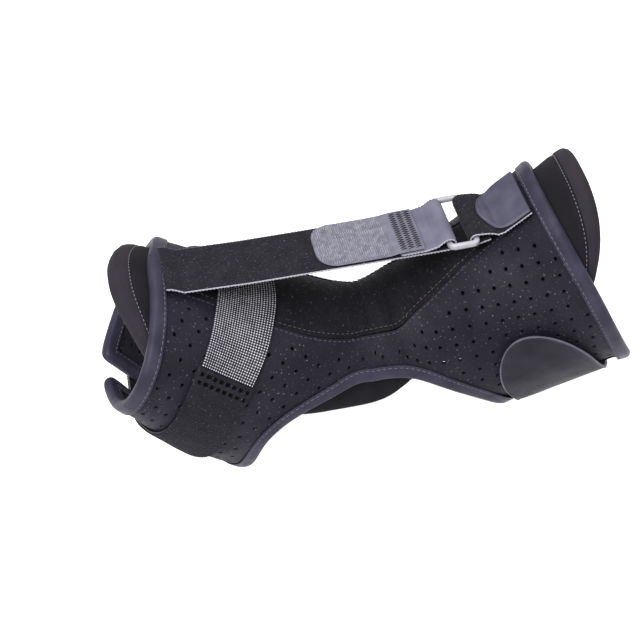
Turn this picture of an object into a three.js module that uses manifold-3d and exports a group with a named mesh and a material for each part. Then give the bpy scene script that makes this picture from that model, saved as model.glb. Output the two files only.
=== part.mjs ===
// Plantar fasciitis night splint for a left foot, shown as it is worn, with the foot and leg left out.
// Millimetres, +Z up, toes towards -X, leg towards +X, outer side of the foot towards -Y.
// The origin is the centre of the ankle joint, where the foot sits in the splint.
import * as THREE from "three";
import { mergeVertices } from "three/addons/utils/BufferGeometryUtils.js";
import Module from "manifold-3d";

const wasm = await Module();
wasm.setup();

// Stance: the foot slopes up to the toes and the leg slopes up from the heel, in degrees.
const FOOT_PITCH = 43;
const SHIN_SLOPE = 36;

// The wearer's foot and leg, measured over the padding.
const FOOT_REACH = 168;
const SOLE_DROP = 82;
const FOREFOOT_WIDTH = 108;
const SHIN_REACH = 155;
const SHIN_DEPTH = 126;
const SHIN_WIDTH = 110;
const ROUNDNESS = 2.2;

// Soft layers, and the clearances between them.
const WRAP_THICKNESS = 4;
const PAD_THICKNESS = 12;
const LAYER_GAP = 0.3;
const FACET_GAP = 0.9;
const EDGE_TRIM = 0.4;
const SEAM_TRIM = 0.4;
const STRAP_WIDTH = 38;
const STRAP_THICKNESS = 1.8;

// Wrap outline: toe edge, shin edge, heel opening and the free ends of its wings, in shares of the reaches
// and degrees round the section. The outer wing's free corners stand out by CORNER_LIFT.
const TOE_EDGE_REACH = 1.04;
const TOE_EDGE_SLANT = 0.11;
const SHIN_EDGE_SLANT = 0.12;
const HEEL_OPENING_FRONT = 0.54;
const HEEL_OPENING_BACK = 0.43;
const SOLE_EDGE_BACK = 0.13;
const SOLE_EDGE_FROM = 75;
const SOLE_EDGE_EASE = 75;
const HEEL_ARCH_ANGLE = 39.5;
const HEEL_ARCH_CREST = -0.045;
const HEEL_ARCH_EASE = 1.7;
const FOOT_OPENING_SHAPE = 3.05;
const CALF_OPENING_SHAPE = 2.08;
const ARCH_SHARE = 0.6;
const FOOT_WING_ANGLE = 166;
const CALF_WING_ANGLE = 152;
const CORNER_LIFT = 3;

// Binding tape folded over the edge of the wrap.
const BINDING_WIDTH = 8.5;
const BINDING_CLOTH = 0.9;

// Pad outline, in shares of the reaches and degrees round the section.
const PAD_TOE_END = 1.15;
const PAD_SHIN_END = 1.15;
const PAD_END_ROUND = 0.2;
const PAD_END_POWER = 2.5;
const PAD_TOE_ANGLE = 84;
const PAD_BEND_ANGLE = 56;
const PAD_SHIN_ANGLE = 72;
const PAD_TOE_SHIFT = -4;
const PAD_SHIN_SHIFT = 6;
const PAD_BEND_REACH = 0.6;

// Forefoot strap: its ends in degrees round the section, and where it lifts over the binding at the sole.
const ELASTIC_OUTER_END = -66;
const ELASTIC_INNER_END = 118;
const JOINT_GAP = 0.4;
const SOLE_LIFT_FROM = 135;
const SOLE_LIFT_EASE = 20;

// Calf closure: its place in shares of SHIN_REACH, its width, and its ends in degrees round the section.
const TAB_W = 0.64;
const TAB_WIDTH = 50;
const TAB_FROM = 140;
const TAB_SQUARE_END = 118;
const TAB_TIP = 70;
const TAB_CORNER = 3;
const TAB_CLEARANCE = 2.2;

// Ring buckle: its centre in shares of SHIN_REACH and SHIN_DEPTH from the ankle, and its wire.
const RING_UP = 0.677;
const RING_FRONT = 0.552;
const RING_LENGTH = 19;
const RING_PLAY = 1;
const RING_CORNER = 3;
const BAR = 3.4;

// Straps over the instep: where they start and rest, in shares of the reaches, and their folded lengths.
const TENSION_START = -0.985;
const TENSION_LIFT = -0.93;
const FOLDED_LENGTH = 14;
const SEWN_LENGTH = 15;
const FOLD_EASE = 9;
const FOLD_DROP = 1;
const ANCHOR_SEATS = [0.8, 0.87, 0.945];
const ANCHOR_TAIL = 9;
const TAB_END_GAP = 4;
const HOOK_LENGTH = 47;
const HOOK_CORNER = 12;
const HOOK_EASE = 6;
const HOOK_THICKNESS = 1.4;

// Fineness of the meshes, the sharpest mitres, and the steps of the probes.
const ROWS_FOOT = 8;
const ROWS_ARCH = 9;
const ROWS_SHIN = 8;
const COLS_CREST = 2;
const COLS_SIDE = 4;
const COLS_WING = 9;
const CORNER_COLUMNS = 4;
const PAD_ROWS = 24;
const PAD_COLS = 12;
const ELASTIC_STEPS = 16;
const UNDERSOLE_STEPS = 16;
const STRAP_COLS = 4;
const TAB_BAND_STEPS = 11;
const TAB_TIP_STEPS = 5;
const TAB_ROWS = 8;
const FOLD_STEPS = 6;
const BEAD_SHARPEST = 0.6;
const FOLD_SHARPEST = 0.5;
const SEAT_SPREAD = 30;
const SEAT_STEP = 3;
const PROBE_W = 0.004;
const PROBE_ANGLE = 0.5;

const HALF_TURN = 180;
const FULL_TURN = 360;
const rad = Math.PI / HALF_TURN;
const lerp = (a, b, t) => a + (b - a) * t;
const smooth = (t) => {
  const c = Math.min(Math.max(t, 0), 1);
  return c * c * (3 - 2 * c);
};

// A point of the foot, forward of the ankle and above it.
const footPoint = (forward, rise) => {
  const c = Math.cos(FOOT_PITCH * rad);
  const s = Math.sin(FOOT_PITCH * rad);
  return [-forward * c + rise * s, forward * s + rise * c];
};
// A point of the leg, up from the ankle and in front of it.
const shinPoint = (up, front) => {
  const c = Math.cos(SHIN_SLOPE * rad);
  const s = Math.sin(SHIN_SLOPE * rad);
  return [up * c - front * s, up * s + front * c];
};

// Sections of the foot: reach and soleReach are shares of FOOT_REACH, crest and sole are shares
// of SOLE_DROP, half is a share of FOREFOOT_WIDTH, and twist turns the section, inner side up, in degrees.
const FOOT_SECTIONS = [
  { reach: 1.16, crest: -0.2, soleReach: 1.0, sole: -0.94, half: 0.46, twist: 5 },
  { reach: 1.0, crest: -0.11, soleReach: 0.87, sole: -0.97, half: 0.5, twist: 5 },
  { reach: 0.73, crest: 0.05, soleReach: 0.7, sole: -1.03, half: 0.52, twist: 6 },
  { reach: 0.52, crest: 0.26, soleReach: 0.47, sole: -1.08, half: 0.51, twist: 7 },
  { reach: 0.34, crest: 0.445, soleReach: 0.2, sole: -1.04, half: 0.45, twist: 7 },
];
// The bend over the instep and down to the heel, in shares of SOLE_DROP from the ankle.
const BEND = { crestAcross: -0.05, crestUp: 0.87, heelAcross: -0.1, heelUp: -1.0, half: 0.42, twist: 6 };
// Sections of the leg: up and backUp are shares of SHIN_REACH, front and back are shares of SHIN_DEPTH,
// and half is a share of SHIN_WIDTH.
const SHIN_SECTIONS = [
  { up: 0.36, front: 0.415, backUp: 0.3, back: -0.38, half: 0.41, twist: 4 },
  { up: 0.56, front: 0.41, backUp: 0.52, back: -0.45, half: 0.42, twist: 2 },
  { up: 0.78, front: 0.41, backUp: 0.78, back: -0.53, half: 0.46, twist: 0 },
  { up: 1.0, front: 0.42, backUp: 1.0, back: -0.6, half: 0.5, twist: 0 },
  { up: 1.2, front: 0.44, backUp: 1.2, back: -0.64, half: 0.53, twist: 0 },
];

const stations = [
  ...FOOT_SECTIONS.map((r) => ({
    w: -r.reach,
    crest: footPoint(r.reach * FOOT_REACH, r.crest * SOLE_DROP),
    base: footPoint(r.soleReach * FOOT_REACH, r.sole * SOLE_DROP),
    half: r.half * FOREFOOT_WIDTH,
    twist: r.twist,
  })),
  {
    w: 0,
    crest: [BEND.crestAcross * SOLE_DROP, BEND.crestUp * SOLE_DROP],
    base: [BEND.heelAcross * SOLE_DROP, BEND.heelUp * SOLE_DROP],
    half: BEND.half * FOREFOOT_WIDTH,
    twist: BEND.twist,
  },
  ...SHIN_SECTIONS.map((r) => ({
    w: r.up,
    crest: shinPoint(r.up * SHIN_REACH, r.front * SHIN_DEPTH),
    base: shinPoint(r.backUp * SHIN_REACH, r.back * SHIN_DEPTH),
    half: r.half * SHIN_WIDTH,
    twist: r.twist,
  })),
].map((s) => ({ w: s.w, values: [...s.crest, ...s.base, s.half, s.twist] }));

// Smooth interpolation of the values of a row of places at w.
function smoothAt(row, w) {
  let k = 0;
  while (k < row.length - 2 && w > row[k + 1].w) k++;
  const a = row[k];
  const b = row[k + 1];
  const before = row[Math.max(k - 1, 0)];
  const after = row[Math.min(k + 2, row.length - 1)];
  const span = b.w - a.w;
  const t = (w - a.w) / span;
  const startShare = 2 * t ** 3 - 3 * t ** 2 + 1;
  const startSlope = (t ** 3 - 2 * t ** 2 + t) * span;
  const endSlope = (t ** 3 - t ** 2) * span;
  return a.values.map((va, i) => {
    const slopeA = (b.values[i] - before.values[i]) / (b.w - before.w);
    const slopeB = (after.values[i] - va) / (after.w - a.w);
    return startShare * va + (1 - startShare) * b.values[i] + startSlope * slopeA + endSlope * slopeB;
  });
}

// A point of the surface between pad and wrap: w along the splint, about -1 at the toe edge, 0 at the bend
// and 1 at the shin edge, and angle round it from the crest, positive on the inner side.
function skinPoint(w, angle) {
  const [cx, cz, bx, bz, half, twist] = smoothAt(stations, w);
  const nx = (cx - bx) / 2;
  const nz = (cz - bz) / 2;
  const depth = Math.hypot(nx, nz);
  const turned = (angle + twist) * rad;
  const r =
    (Math.abs(Math.cos(turned) / depth) ** ROUNDNESS + Math.abs(Math.sin(turned) / half) ** ROUNDNESS) **
    (-1 / ROUNDNESS);
  const along = (r * Math.cos(angle * rad)) / depth;
  const x = (cx + bx) / 2 + nx * along;
  const z = (cz + bz) / 2 + nz * along;
  return new THREE.Vector3(x, r * Math.sin(angle * rad), z);
}

function skinNormal(w, angle) {
  const alongW = skinPoint(w + PROBE_W, angle).sub(skinPoint(w - PROBE_W, angle));
  const alongA = skinPoint(w, angle + PROBE_ANGLE).sub(skinPoint(w, angle - PROBE_ANGLE));
  return alongW.cross(alongA).normalize();
}

const offsetPoint = (w, angle, offset) => skinPoint(w, angle).addScaledVector(skinNormal(w, angle), offset);

function geometryOf(points, triangles) {
  const geometry = new THREE.BufferGeometry();
  geometry.setAttribute("position", new THREE.Float32BufferAttribute(points.flatMap((p) => p.toArray()), 3));
  geometry.setIndex(triangles);
  return geometry;
}

// A closed sheet from cells of an index grid: place(i, j) gives w, angle, inner and outer offsets.
function sheetGeometry(cells, place) {
  const index = new Map();
  const points = [];
  const corner = (i, j, side) => {
    const key = i + "," + j + "," + side;
    if (!index.has(key)) {
      const [w, angle, inner, outer] = place(i, j);
      index.set(key, points.length);
      points.push(offsetPoint(w, angle, side ? outer : inner));
    }
    return index.get(key);
  };
  const triangles = [];
  const edges = new Map();
  for (const [i, j] of cells) {
    const ring = [[i, j], [i + 1, j], [i + 1, j + 1], [i, j + 1]];
    for (const side of [0, 1]) {
      const q = ring.map(([a, b]) => corner(a, b, side));
      const order = side ? q : [...q].reverse();
      triangles.push(order[0], order[1], order[2], order[0], order[2], order[3]);
    }
    ring.forEach((from, k) => {
      const to = ring[(k + 1) % 4];
      const back = to + "|" + from;
      if (edges.has(back)) edges.delete(back);
      else edges.set(from + "|" + to, [from, to]);
    });
  }
  for (const [from, to] of edges.values()) {
    const [a, b] = [corner(...from, 0), corner(...to, 0)];
    const [c, d] = [corner(...to, 1), corner(...from, 1)];
    triangles.push(a, b, c, a, c, d);
  }
  return geometryOf(points, triangles);
}

const gridCells = (rows, from, to) => {
  const cells = [];
  for (let i = 0; i < rows; i++) for (let j = from; j < to; j++) cells.push([i, j]);
  return cells;
};

const group = new THREE.Group();
function add(name, geometry, colour, roughness = 0.9, metalness = 0) {
  const material = new THREE.MeshStandardMaterial({ color: colour, roughness, metalness });
  const mesh = new THREE.Mesh(geometry, material);
  mesh.name = name;
  group.add(mesh);
  return mesh;
}

function solidOf(geometry) {
  const bare = geometry.clone();
  for (const name of Object.keys(bare.attributes)) if (name !== "position") bare.deleteAttribute(name);
  const merged = mergeVertices(bare, 1e-4);
  return new wasm.Manifold(
    new wasm.Mesh({
      numProp: 3,
      vertProperties: merged.attributes.position.array,
      triVerts: new Uint32Array(merged.index.array),
    }),
  );
}

function geometryFrom(solid) {
  const mesh = solid.getMesh();
  const geometry = new THREE.BufferGeometry();
  geometry.setAttribute("position", new THREE.BufferAttribute(new Float32Array(mesh.vertProperties), 3));
  geometry.setIndex(new THREE.BufferAttribute(new Uint32Array(mesh.triVerts), 1));
  return geometry;
}

const toeEdge = (angle) => -TOE_EDGE_REACH + TOE_EDGE_SLANT * Math.sin(Math.max(angle, 0) * rad) ** 2;
const shinEdge = (angle) => 1 - (SHIN_EDGE_SLANT * (1 - Math.cos(angle * rad))) / 2;
const rounded = (share, power) => (1 - Math.min(share, 1) ** power) ** (1 / power);
const openingShape = (foot) => (foot ? FOOT_OPENING_SHAPE : CALF_OPENING_SHAPE);
const soleEdgeBack = (angle) => SOLE_EDGE_BACK * smooth((angle - SOLE_EDGE_FROM) / SOLE_EDGE_EASE);
const archAngle = (share, top, foot) => 180 - (180 - top) * rounded(share, openingShape(foot));
// Angle of the arch over the heel at w, a little lower on both sides of its crest than the opening's shape.
const archEdge = (w, front, back, top) => {
  const end = ARCH_SHARE * (w < HEEL_ARCH_CREST ? -front : back);
  const share = (w - HEEL_ARCH_CREST) / (end - HEEL_ARCH_CREST);
  const ease = HEEL_ARCH_EASE * Math.sin(HALF_TURN * Math.min(share, 1) * rad);
  return archAngle(Math.abs(w) / (w < 0 ? front : back), top, w < 0) + ease;
};
const openingShare = (angle, top, foot) =>
  rounded((180 - Math.abs(angle)) / (180 - top), openingShape(foot));

// Half angle of the dorsal panel, between its two seams, along the splint.
const SEAM_ANGLES = [
  { w: -1.2, angle: 19 },
  { w: -0.85, angle: 20 },
  { w: -0.52, angle: 29 },
  { w: -0.3, angle: 23.5 },
  { w: 0, angle: 21 },
  { w: 0.32, angle: 27 },
  { w: 0.62, angle: 16 },
  { w: 0.85, angle: 12 },
  { w: 1.2, angle: 12 },
];
const seamLine = SEAM_ANGLES.map((s) => ({ w: s.w, values: [s.angle] }));
const seamAngle = (w) => smoothAt(seamLine, w)[0];

// Middle of the forefoot strap in shares of FOOT_REACH, by the angle round the section.
const FOREFOOT_RUN = [
  { angle: -180, w: -0.66 },
  { angle: -120, w: -0.68 },
  { angle: -80, w: -0.738 },
  { angle: -40, w: -0.726 },
  { angle: 0, w: -0.702 },
  { angle: 60, w: -0.7 },
  { angle: 120, w: -0.69 },
  { angle: 180, w: -0.66 },
];
const forefootLine = FOREFOOT_RUN.map((s) => ({ w: s.angle, values: [s.w] }));

// Index grid of the wrap: rows from toe edge to shin edge, columns from the crest to the ends of the wings.
const rowArch = ROWS_FOOT;
const rowCalf = rowArch + ROWS_ARCH;
const rowEnd = rowCalf + ROWS_SHIN;
const colSeam = COLS_CREST;
const colCorner = colSeam + COLS_SIDE;
const colEnd = colCorner + COLS_WING;

// w and angle of a grid point of the wrap, with its edges moved in by trim.
function wrapPlace(i, j, trim) {
  const column = Math.abs(j);
  const side = Math.sign(j);
  const front = HEEL_OPENING_FRONT + trim / FOOT_REACH;
  const back = HEEL_OPENING_BACK + trim / SHIN_REACH;
  const top = HEEL_ARCH_ANGLE - trim;
  const foot = i <= rowArch;
  const cornerAngle = (onFoot) => archAngle(ARCH_SHARE, top, onFoot);
  const wingEnd = (foot ? FOOT_WING_ANGLE : CALF_WING_ANGLE) - trim;
  const wingAngle = lerp(cornerAngle(foot), wingEnd, (column - colCorner) / COLS_WING);
  const open = column > colCorner ? openingShare(wingAngle, top, foot) : ARCH_SHARE;
  const along = (angle) => {
    if (foot) {
      const heelEdge = -open * front + soleEdgeBack(angle);
      return lerp(toeEdge(side * angle) + trim / FOOT_REACH, heelEdge, i / ROWS_FOOT);
    }
    if (i < rowCalf) return lerp(-ARCH_SHARE * front, ARCH_SHARE * back, (i - rowArch) / ROWS_ARCH);
    return lerp(open * back, shinEdge(angle) - trim / SHIN_REACH, (i - rowCalf) / ROWS_SHIN);
  };
  const angleAt = (w) => {
    if (column > colCorner) return wingAngle;
    if (column <= colSeam) return (seamAngle(w) * column) / COLS_CREST;
    const inArch = i >= rowArch && i <= rowCalf;
    const edge = inArch ? archEdge(w, front, back, top) : cornerAngle(foot);
    return lerp(seamAngle(w), edge, (column - colSeam) / COLS_SIDE);
  };
  let w = along(cornerAngle(foot));
  for (let pass = 0; pass < 3; pass++) w = along(angleAt(w));
  return [w, side * angleAt(w)];
}

// The calf end of the outer wing stands out at its two corners, where the closure tab leaves it free.
const cornerLift = (i, j) => {
  const free = j < 0 && (i === rowCalf || i === rowEnd);
  return free ? CORNER_LIFT * smooth(1 - (colEnd + j) / CORNER_COLUMNS) : 0;
};

const wrapCells = (from, to) =>
  gridCells(rowEnd, from, to).filter(([i, j]) => {
    const column = j < 0 ? -j - 1 : j;
    return column < colCorner || i < rowArch || i >= rowCalf;
  });
const wrapInner = LAYER_GAP / 2;
const wrapOuter = wrapInner + WRAP_THICKNESS;
const wrapSheet = (cells, trim, grow, seamTrim = 0) =>
  sheetGeometry(cells, (i, j) => {
    const [w, angle] = wrapPlace(i, j, trim);
    const lift = cornerLift(i, j);
    const seam = Math.abs(j) === colSeam ? Math.sign(j) * seamTrim : 0;
    return [w, angle - seam, wrapInner + lift - grow, wrapOuter + lift + grow];
  });

const PERFORATED = 0x272531;
const PLUSH = 0x1b1920;
add("outer_panel", wrapSheet(wrapCells(-colEnd, -colSeam), EDGE_TRIM, 0), PERFORATED);
add("inner_panel", wrapSheet(wrapCells(colSeam, colEnd), EDGE_TRIM, 0), PERFORATED);
add("dorsal_panel", wrapSheet(wrapCells(-colSeam, colSeam), EDGE_TRIM, 0, SEAM_TRIM), PLUSH);

// Binding tape folded over the whole edge of the wrap: a bead along the edge with the wrap cut out of it.
const bindingHalf = WRAP_THICKNESS / 2 + LAYER_GAP + BINDING_CLOTH;
const bindingInner = wrapInner + WRAP_THICKNESS / 2 - bindingHalf;
const bindingOuter = bindingInner + 2 * bindingHalf;
const bindingEdge = -LAYER_GAP - BINDING_CLOTH;
const BEAD_SECTION = [
  [bindingEdge, -bindingHalf / 2],
  [-bindingEdge, -bindingHalf],
  [BINDING_WIDTH + bindingEdge, -bindingHalf],
  [BINDING_WIDTH + bindingEdge, bindingHalf],
  [-bindingEdge, bindingHalf],
  [bindingEdge, bindingHalf / 2],
];
const outline = [];
const follow = (i, j) => outline.push([i, j]);
for (let j = -colEnd; j < colEnd; j++) follow(0, j);
for (let i = 0; i < rowArch; i++) follow(i, colEnd);
for (let j = colEnd; j > colCorner; j--) follow(rowArch, j);
for (let i = rowArch; i < rowCalf; i++) follow(i, colCorner);
for (let j = colCorner; j < colEnd; j++) follow(rowCalf, j);
for (let i = rowCalf; i < rowEnd; i++) follow(i, colEnd);
for (let j = colEnd; j > -colEnd; j--) follow(rowEnd, j);
for (let i = rowEnd; i > rowCalf; i--) follow(i, -colEnd);
for (let j = -colEnd; j < -colCorner; j++) follow(rowCalf, j);
for (let i = rowCalf; i > rowArch; i--) follow(i, -colCorner);
for (let j = -colCorner; j > -colEnd; j--) follow(rowArch, j);
for (let i = rowArch; i > 0; i--) follow(i, -colEnd);

function closedBead(path, normals, section) {
  const count = path.length;
  const n = section.length;
  const points = [];
  const triangles = [];
  path.forEach((mid, k) => {
    const before = mid.clone().sub(path[(k + count - 1) % count]).normalize();
    const after = path[(k + 1) % count].clone().sub(mid).normalize();
    const tangent = before.clone().add(after).normalize();
    const mitre = 1 / Math.max(BEAD_SHARPEST, tangent.dot(after));
    const across = tangent.cross(normals[k]).normalize().multiplyScalar(mitre);
    for (const [u, v] of section) {
      points.push(mid.clone().addScaledVector(across, u).addScaledVector(normals[k], v));
    }
    for (let s = 0; s < n; s++) {
      const a = k * n + s;
      const b = k * n + ((s + 1) % n);
      const c = ((k + 1) % count) * n + ((s + 1) % n);
      const d = ((k + 1) % count) * n + s;
      triangles.push(a, c, b, a, d, c);
    }
  });
  return geometryOf(points, triangles);
}
const wrapMiddle = (wrapInner + wrapOuter) / 2;
const edgeMids = outline.map(([i, j]) => offsetPoint(...wrapPlace(i, j, 0), wrapMiddle + cornerLift(i, j)));
const edgeNormals = outline.map(([i, j]) => skinNormal(...wrapPlace(i, j, 0)));
const bead = closedBead(edgeMids, edgeNormals, BEAD_SECTION);
const wrapCutter = solidOf(wrapSheet(wrapCells(-colEnd, colEnd), 0, LAYER_GAP));
add("edge_binding", geometryFrom(solidOf(bead).subtract(wrapCutter)), 0x34313f, 0.6);

// Pad: thick foam tongue inside the wrap, standing out of it with a rounded end above the toes and the shin.
const padOuter = bindingInner - FACET_GAP;
add(
  "instep_pad",
  sheetGeometry(gridCells(PAD_ROWS, 0, PAD_COLS), (i, j) => {
    const v = (2 * j) / PAD_COLS - 1;
    const round = PAD_END_ROUND * Math.abs(v) ** PAD_END_POWER;
    const w = lerp(-PAD_TOE_END + round, PAD_SHIN_END - round, i / PAD_ROWS);
    const share = Math.min(1, Math.abs(w));
    const endAngle = w < 0 ? PAD_TOE_ANGLE : PAD_SHIN_ANGLE;
    const half = lerp(PAD_BEND_ANGLE, endAngle, smooth(share / PAD_BEND_REACH));
    const middle = (w < 0 ? PAD_TOE_SHIFT : PAD_SHIN_SHIFT) * share;
    return [w, middle + v * half, padOuter - PAD_THICKNESS, padOuter];
  }),
  0x17151a,
);

// Forefoot strap: elastic webbing over the instep, then plush strap round the sole.
const strapInner = wrapOuter + FACET_GAP;
function forefootBand(name, from, to, steps, colour) {
  const place = (i, j) => {
    const turn = lerp(from, to, j / steps);
    const angle = turn < -HALF_TURN ? turn + FULL_TURN : turn;
    const centre = smoothAt(forefootLine, angle)[0];
    const w = centre + (STRAP_WIDTH / FOOT_REACH) * (i / STRAP_COLS - 0.5);
    const lift = smooth((Math.abs(angle) - SOLE_LIFT_FROM) / SOLE_LIFT_EASE);
    const inner = strapInner + (bindingOuter - wrapOuter) * lift;
    return [w, angle, inner, inner + STRAP_THICKNESS];
  };
  add(name, sheetGeometry(gridCells(STRAP_COLS, 0, steps), place), colour);
}
forefootBand("forefoot_elastic", ELASTIC_OUTER_END, ELASTIC_INNER_END, ELASTIC_STEPS, 0x8f8e94);
forefootBand(
  "forefoot_strap",
  ELASTIC_INNER_END - FULL_TURN + JOINT_GAP,
  ELASTIC_OUTER_END - JOINT_GAP,
  UNDERSOLE_STEPS,
  0x232029,
);

// Calf closure: smooth tab that comes round the calf from the inner wing and ends rounded on the outer side.
const tabInner = bindingOuter + TAB_CLEARANCE;
add(
  "calf_closure",
  sheetGeometry(gridCells(TAB_ROWS, 0, TAB_BAND_STEPS + TAB_TIP_STEPS), (i, j) => {
    const v = (2 * i) / TAB_ROWS - 1;
    const tip = lerp(TAB_SQUARE_END - TAB_CORNER, TAB_TIP, Math.sqrt(Math.max(0, 1 - v * v)));
    const onBand = lerp(TAB_FROM - FULL_TURN, -TAB_SQUARE_END, j / TAB_BAND_STEPS);
    const onTip = lerp(-TAB_SQUARE_END, -tip, (j - TAB_BAND_STEPS) / TAB_TIP_STEPS);
    const angle = j < TAB_BAND_STEPS ? onBand : onTip;
    return [TAB_W + (v * TAB_WIDTH) / 2 / SHIN_REACH, angle, tabInner, tabInner + STRAP_THICKNESS];
  }),
  0x2a2833,
);

// Straps over the instep share one frame at the ring buckle: x along the strap to the leg, y across, z up.
const [ringX, ringZ] = shinPoint(RING_UP * SHIN_REACH, RING_FRONT * SHIN_DEPTH);
const ringCentre = new THREE.Vector3(ringX, 0, ringZ);
const liftPoint = offsetPoint(TENSION_LIFT, 0, strapInner + STRAP_THICKNESS / 2);
const chord = ringCentre.clone().sub(liftPoint).setY(0).normalize();
const across = new THREE.Vector3(0, 1, 0);
const above = chord.clone().cross(across);
const strapFrame = new THREE.Matrix4().makeBasis(chord, across, above).setPosition(ringCentre);

// The place where a flat strap rests on the outside at w, as x and z in the frame of the straps.
function seatAt(w, lift) {
  let seat = null;
  for (let angle = -SEAT_SPREAD; angle <= SEAT_SPREAD; angle += SEAT_STEP) {
    const p = offsetPoint(w, angle, lift).sub(ringCentre);
    const spot = [p.dot(chord), p.dot(above)];
    if (Math.abs(p.dot(across)) <= STRAP_WIDTH / 2 && (!seat || spot[1] > seat[1])) seat = spot;
  }
  return seat;
}

// A line of x and z points moved sideways by a distance, to the left of its direction.
function shifted(line, distance) {
  const points = line.map(([x, z]) => new THREE.Vector2(x, z));
  return points.map((p, k) => {
    const a = p.clone().sub(points[Math.max(k - 1, 0)]).normalize();
    const b = points[Math.min(k + 1, points.length - 1)].clone().sub(p).normalize();
    if (k === 0) a.copy(b);
    if (k === points.length - 1) b.copy(a);
    const bisector = a.clone().add(b).normalize();
    const reach = distance / Math.max(FOLD_SHARPEST, bisector.dot(b));
    return [p.x - bisector.y * reach, p.y + bisector.x * reach];
  });
}

// Flat strap from the line of its middle, drawn out across its width.
function ribbon(line, width, thickness) {
  const upper = shifted(line, thickness / 2);
  const lower = shifted(line, -thickness / 2).reverse();
  const shape = new THREE.Shape([...upper, ...lower].map(([x, z]) => new THREE.Vector2(x, z)));
  const geometry = new THREE.ExtrudeGeometry(shape, { depth: width, bevelEnabled: false });
  return geometry.rotateX(90 * rad).translate(0, width / 2, 0);
}
const arc = (x, z, radius, from, to, steps) =>
  Array.from({ length: steps + 1 }, (_, k) => {
    const t = lerp(from, to, k / steps) * rad;
    return [x + radius * Math.cos(t), z + radius * Math.sin(t)];
  });
const inStrapFrame = (geometry) => geometry.applyMatrix4(strapFrame);

// Ring buckle: rectangular wire ring that lies between the two straps.
const ringOutline = (length, width, corner) => {
  const shape = new THREE.Shape();
  const [x, y] = [length / 2 - corner, width / 2 - corner];
  shape.absarc(x, y, corner, 0, 90 * rad);
  shape.absarc(-x, y, corner, 90 * rad, 180 * rad);
  shape.absarc(-x, -y, corner, 180 * rad, 270 * rad);
  shape.absarc(x, -y, corner, 270 * rad, 360 * rad);
  return shape;
};
const ringOpening = STRAP_WIDTH + 2 * RING_PLAY;
const ringShape = ringOutline(RING_LENGTH, ringOpening + 2 * BAR, RING_CORNER);
ringShape.holes.push(ringOutline(RING_LENGTH - 2 * BAR, ringOpening, RING_CORNER / 3));
const ringBody = new THREE.ExtrudeGeometry(ringShape, { depth: BAR, bevelEnabled: false, curveSegments: 3 });
add("ring_buckle", inStrapFrame(ringBody.translate(0, 0, -BAR / 2)), 0x6d6c73, 0.45);

// Tension strap: sewn at the toe edge, through the ring and folded back on itself.
const foldRadius = Math.hypot(BAR / 2, BAR / 2) + LAYER_GAP + STRAP_THICKNESS / 2;
const barX = RING_LENGTH / 2 - BAR / 2;
const layer = STRAP_THICKNESS + LAYER_GAP;
const returnZ = -foldRadius + layer;
const foldBack = -barX - FOLD_EASE;
const sewnEnd = -barX - FOLDED_LENGTH - SEWN_LENGTH;
const toeSeats = [TENSION_START, TENSION_LIFT].map((w) => seatAt(w, strapInner + STRAP_THICKNESS / 2));
const tensionLine = [
  ...toeSeats,
  [foldBack, -foldRadius],
  ...arc(-barX, 0, foldRadius, -90, 90, FOLD_STEPS),
  [-barX - BAR / 2 - LAYER_GAP, foldRadius],
  [foldBack, returnZ],
  [sewnEnd, returnZ],
];
add("tension_strap", inStrapFrame(ribbon(tensionLine, STRAP_WIDTH, STRAP_THICKNESS)), 0x1d1b21);

// Prism over a plan with rounded corners at one end, to trim a strap's free end.
function trimmed(geometry, from, to, width, corner) {
  const shape = new THREE.Shape();
  const [x, y] = [from + corner, width / 2 - corner];
  shape.moveTo(to, -width / 2);
  shape.lineTo(to, width / 2);
  shape.absarc(x, y, corner, 90 * rad, 180 * rad);
  shape.absarc(x, -y, corner, 180 * rad, 270 * rad);
  const reach = 2 * SHIN_DEPTH;
  const prism = new THREE.ExtrudeGeometry(shape, { depth: reach, bevelEnabled: false, curveSegments: 5 });
  return geometryFrom(solidOf(geometry).intersect(solidOf(prism.translate(0, 0, -reach / 2))));
}

// Hook tab: sewn on the folded end and pressed on the strap, with rounded corners towards the toes.
const hookLift = (STRAP_THICKNESS + HOOK_THICKNESS) / 2 + LAYER_GAP;
const strapSlope = (toeSeats[1][1] + foldRadius) / (toeSeats[1][0] - foldBack);
const strapTop = (x) => -foldRadius + strapSlope * (x - foldBack) + hookLift;
const hookTip = sewnEnd - HOOK_LENGTH;
const hookLine = [
  [hookTip, strapTop(hookTip)],
  [sewnEnd - HOOK_EASE, strapTop(sewnEnd - HOOK_EASE)],
  [sewnEnd - LAYER_GAP, returnZ + hookLift],
  [sewnEnd + SEWN_LENGTH, returnZ + hookLift],
];
const hookBody = ribbon(hookLine, STRAP_WIDTH, HOOK_THICKNESS);
add("hook_tab", inStrapFrame(trimmed(hookBody, hookTip, 0, STRAP_WIDTH, HOOK_CORNER)), 0x77767f);

// Anchor strap: from the ring down on to the shin, and up to the shin edge.
const anchorSeats = ANCHOR_SEATS.map((w) => seatAt(w, strapInner + STRAP_THICKNESS / 2));
const anchorLine = [
  [barX + ANCHOR_TAIL, -foldRadius + layer],
  ...arc(barX, 0, foldRadius, 270, 90, FOLD_STEPS),
  [barX + FOLD_EASE, foldRadius - FOLD_DROP],
  ...anchorSeats,
];
add("anchor_strap", inStrapFrame(ribbon(anchorLine, STRAP_WIDTH, STRAP_THICKNESS)), 0x1d1b21);

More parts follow.
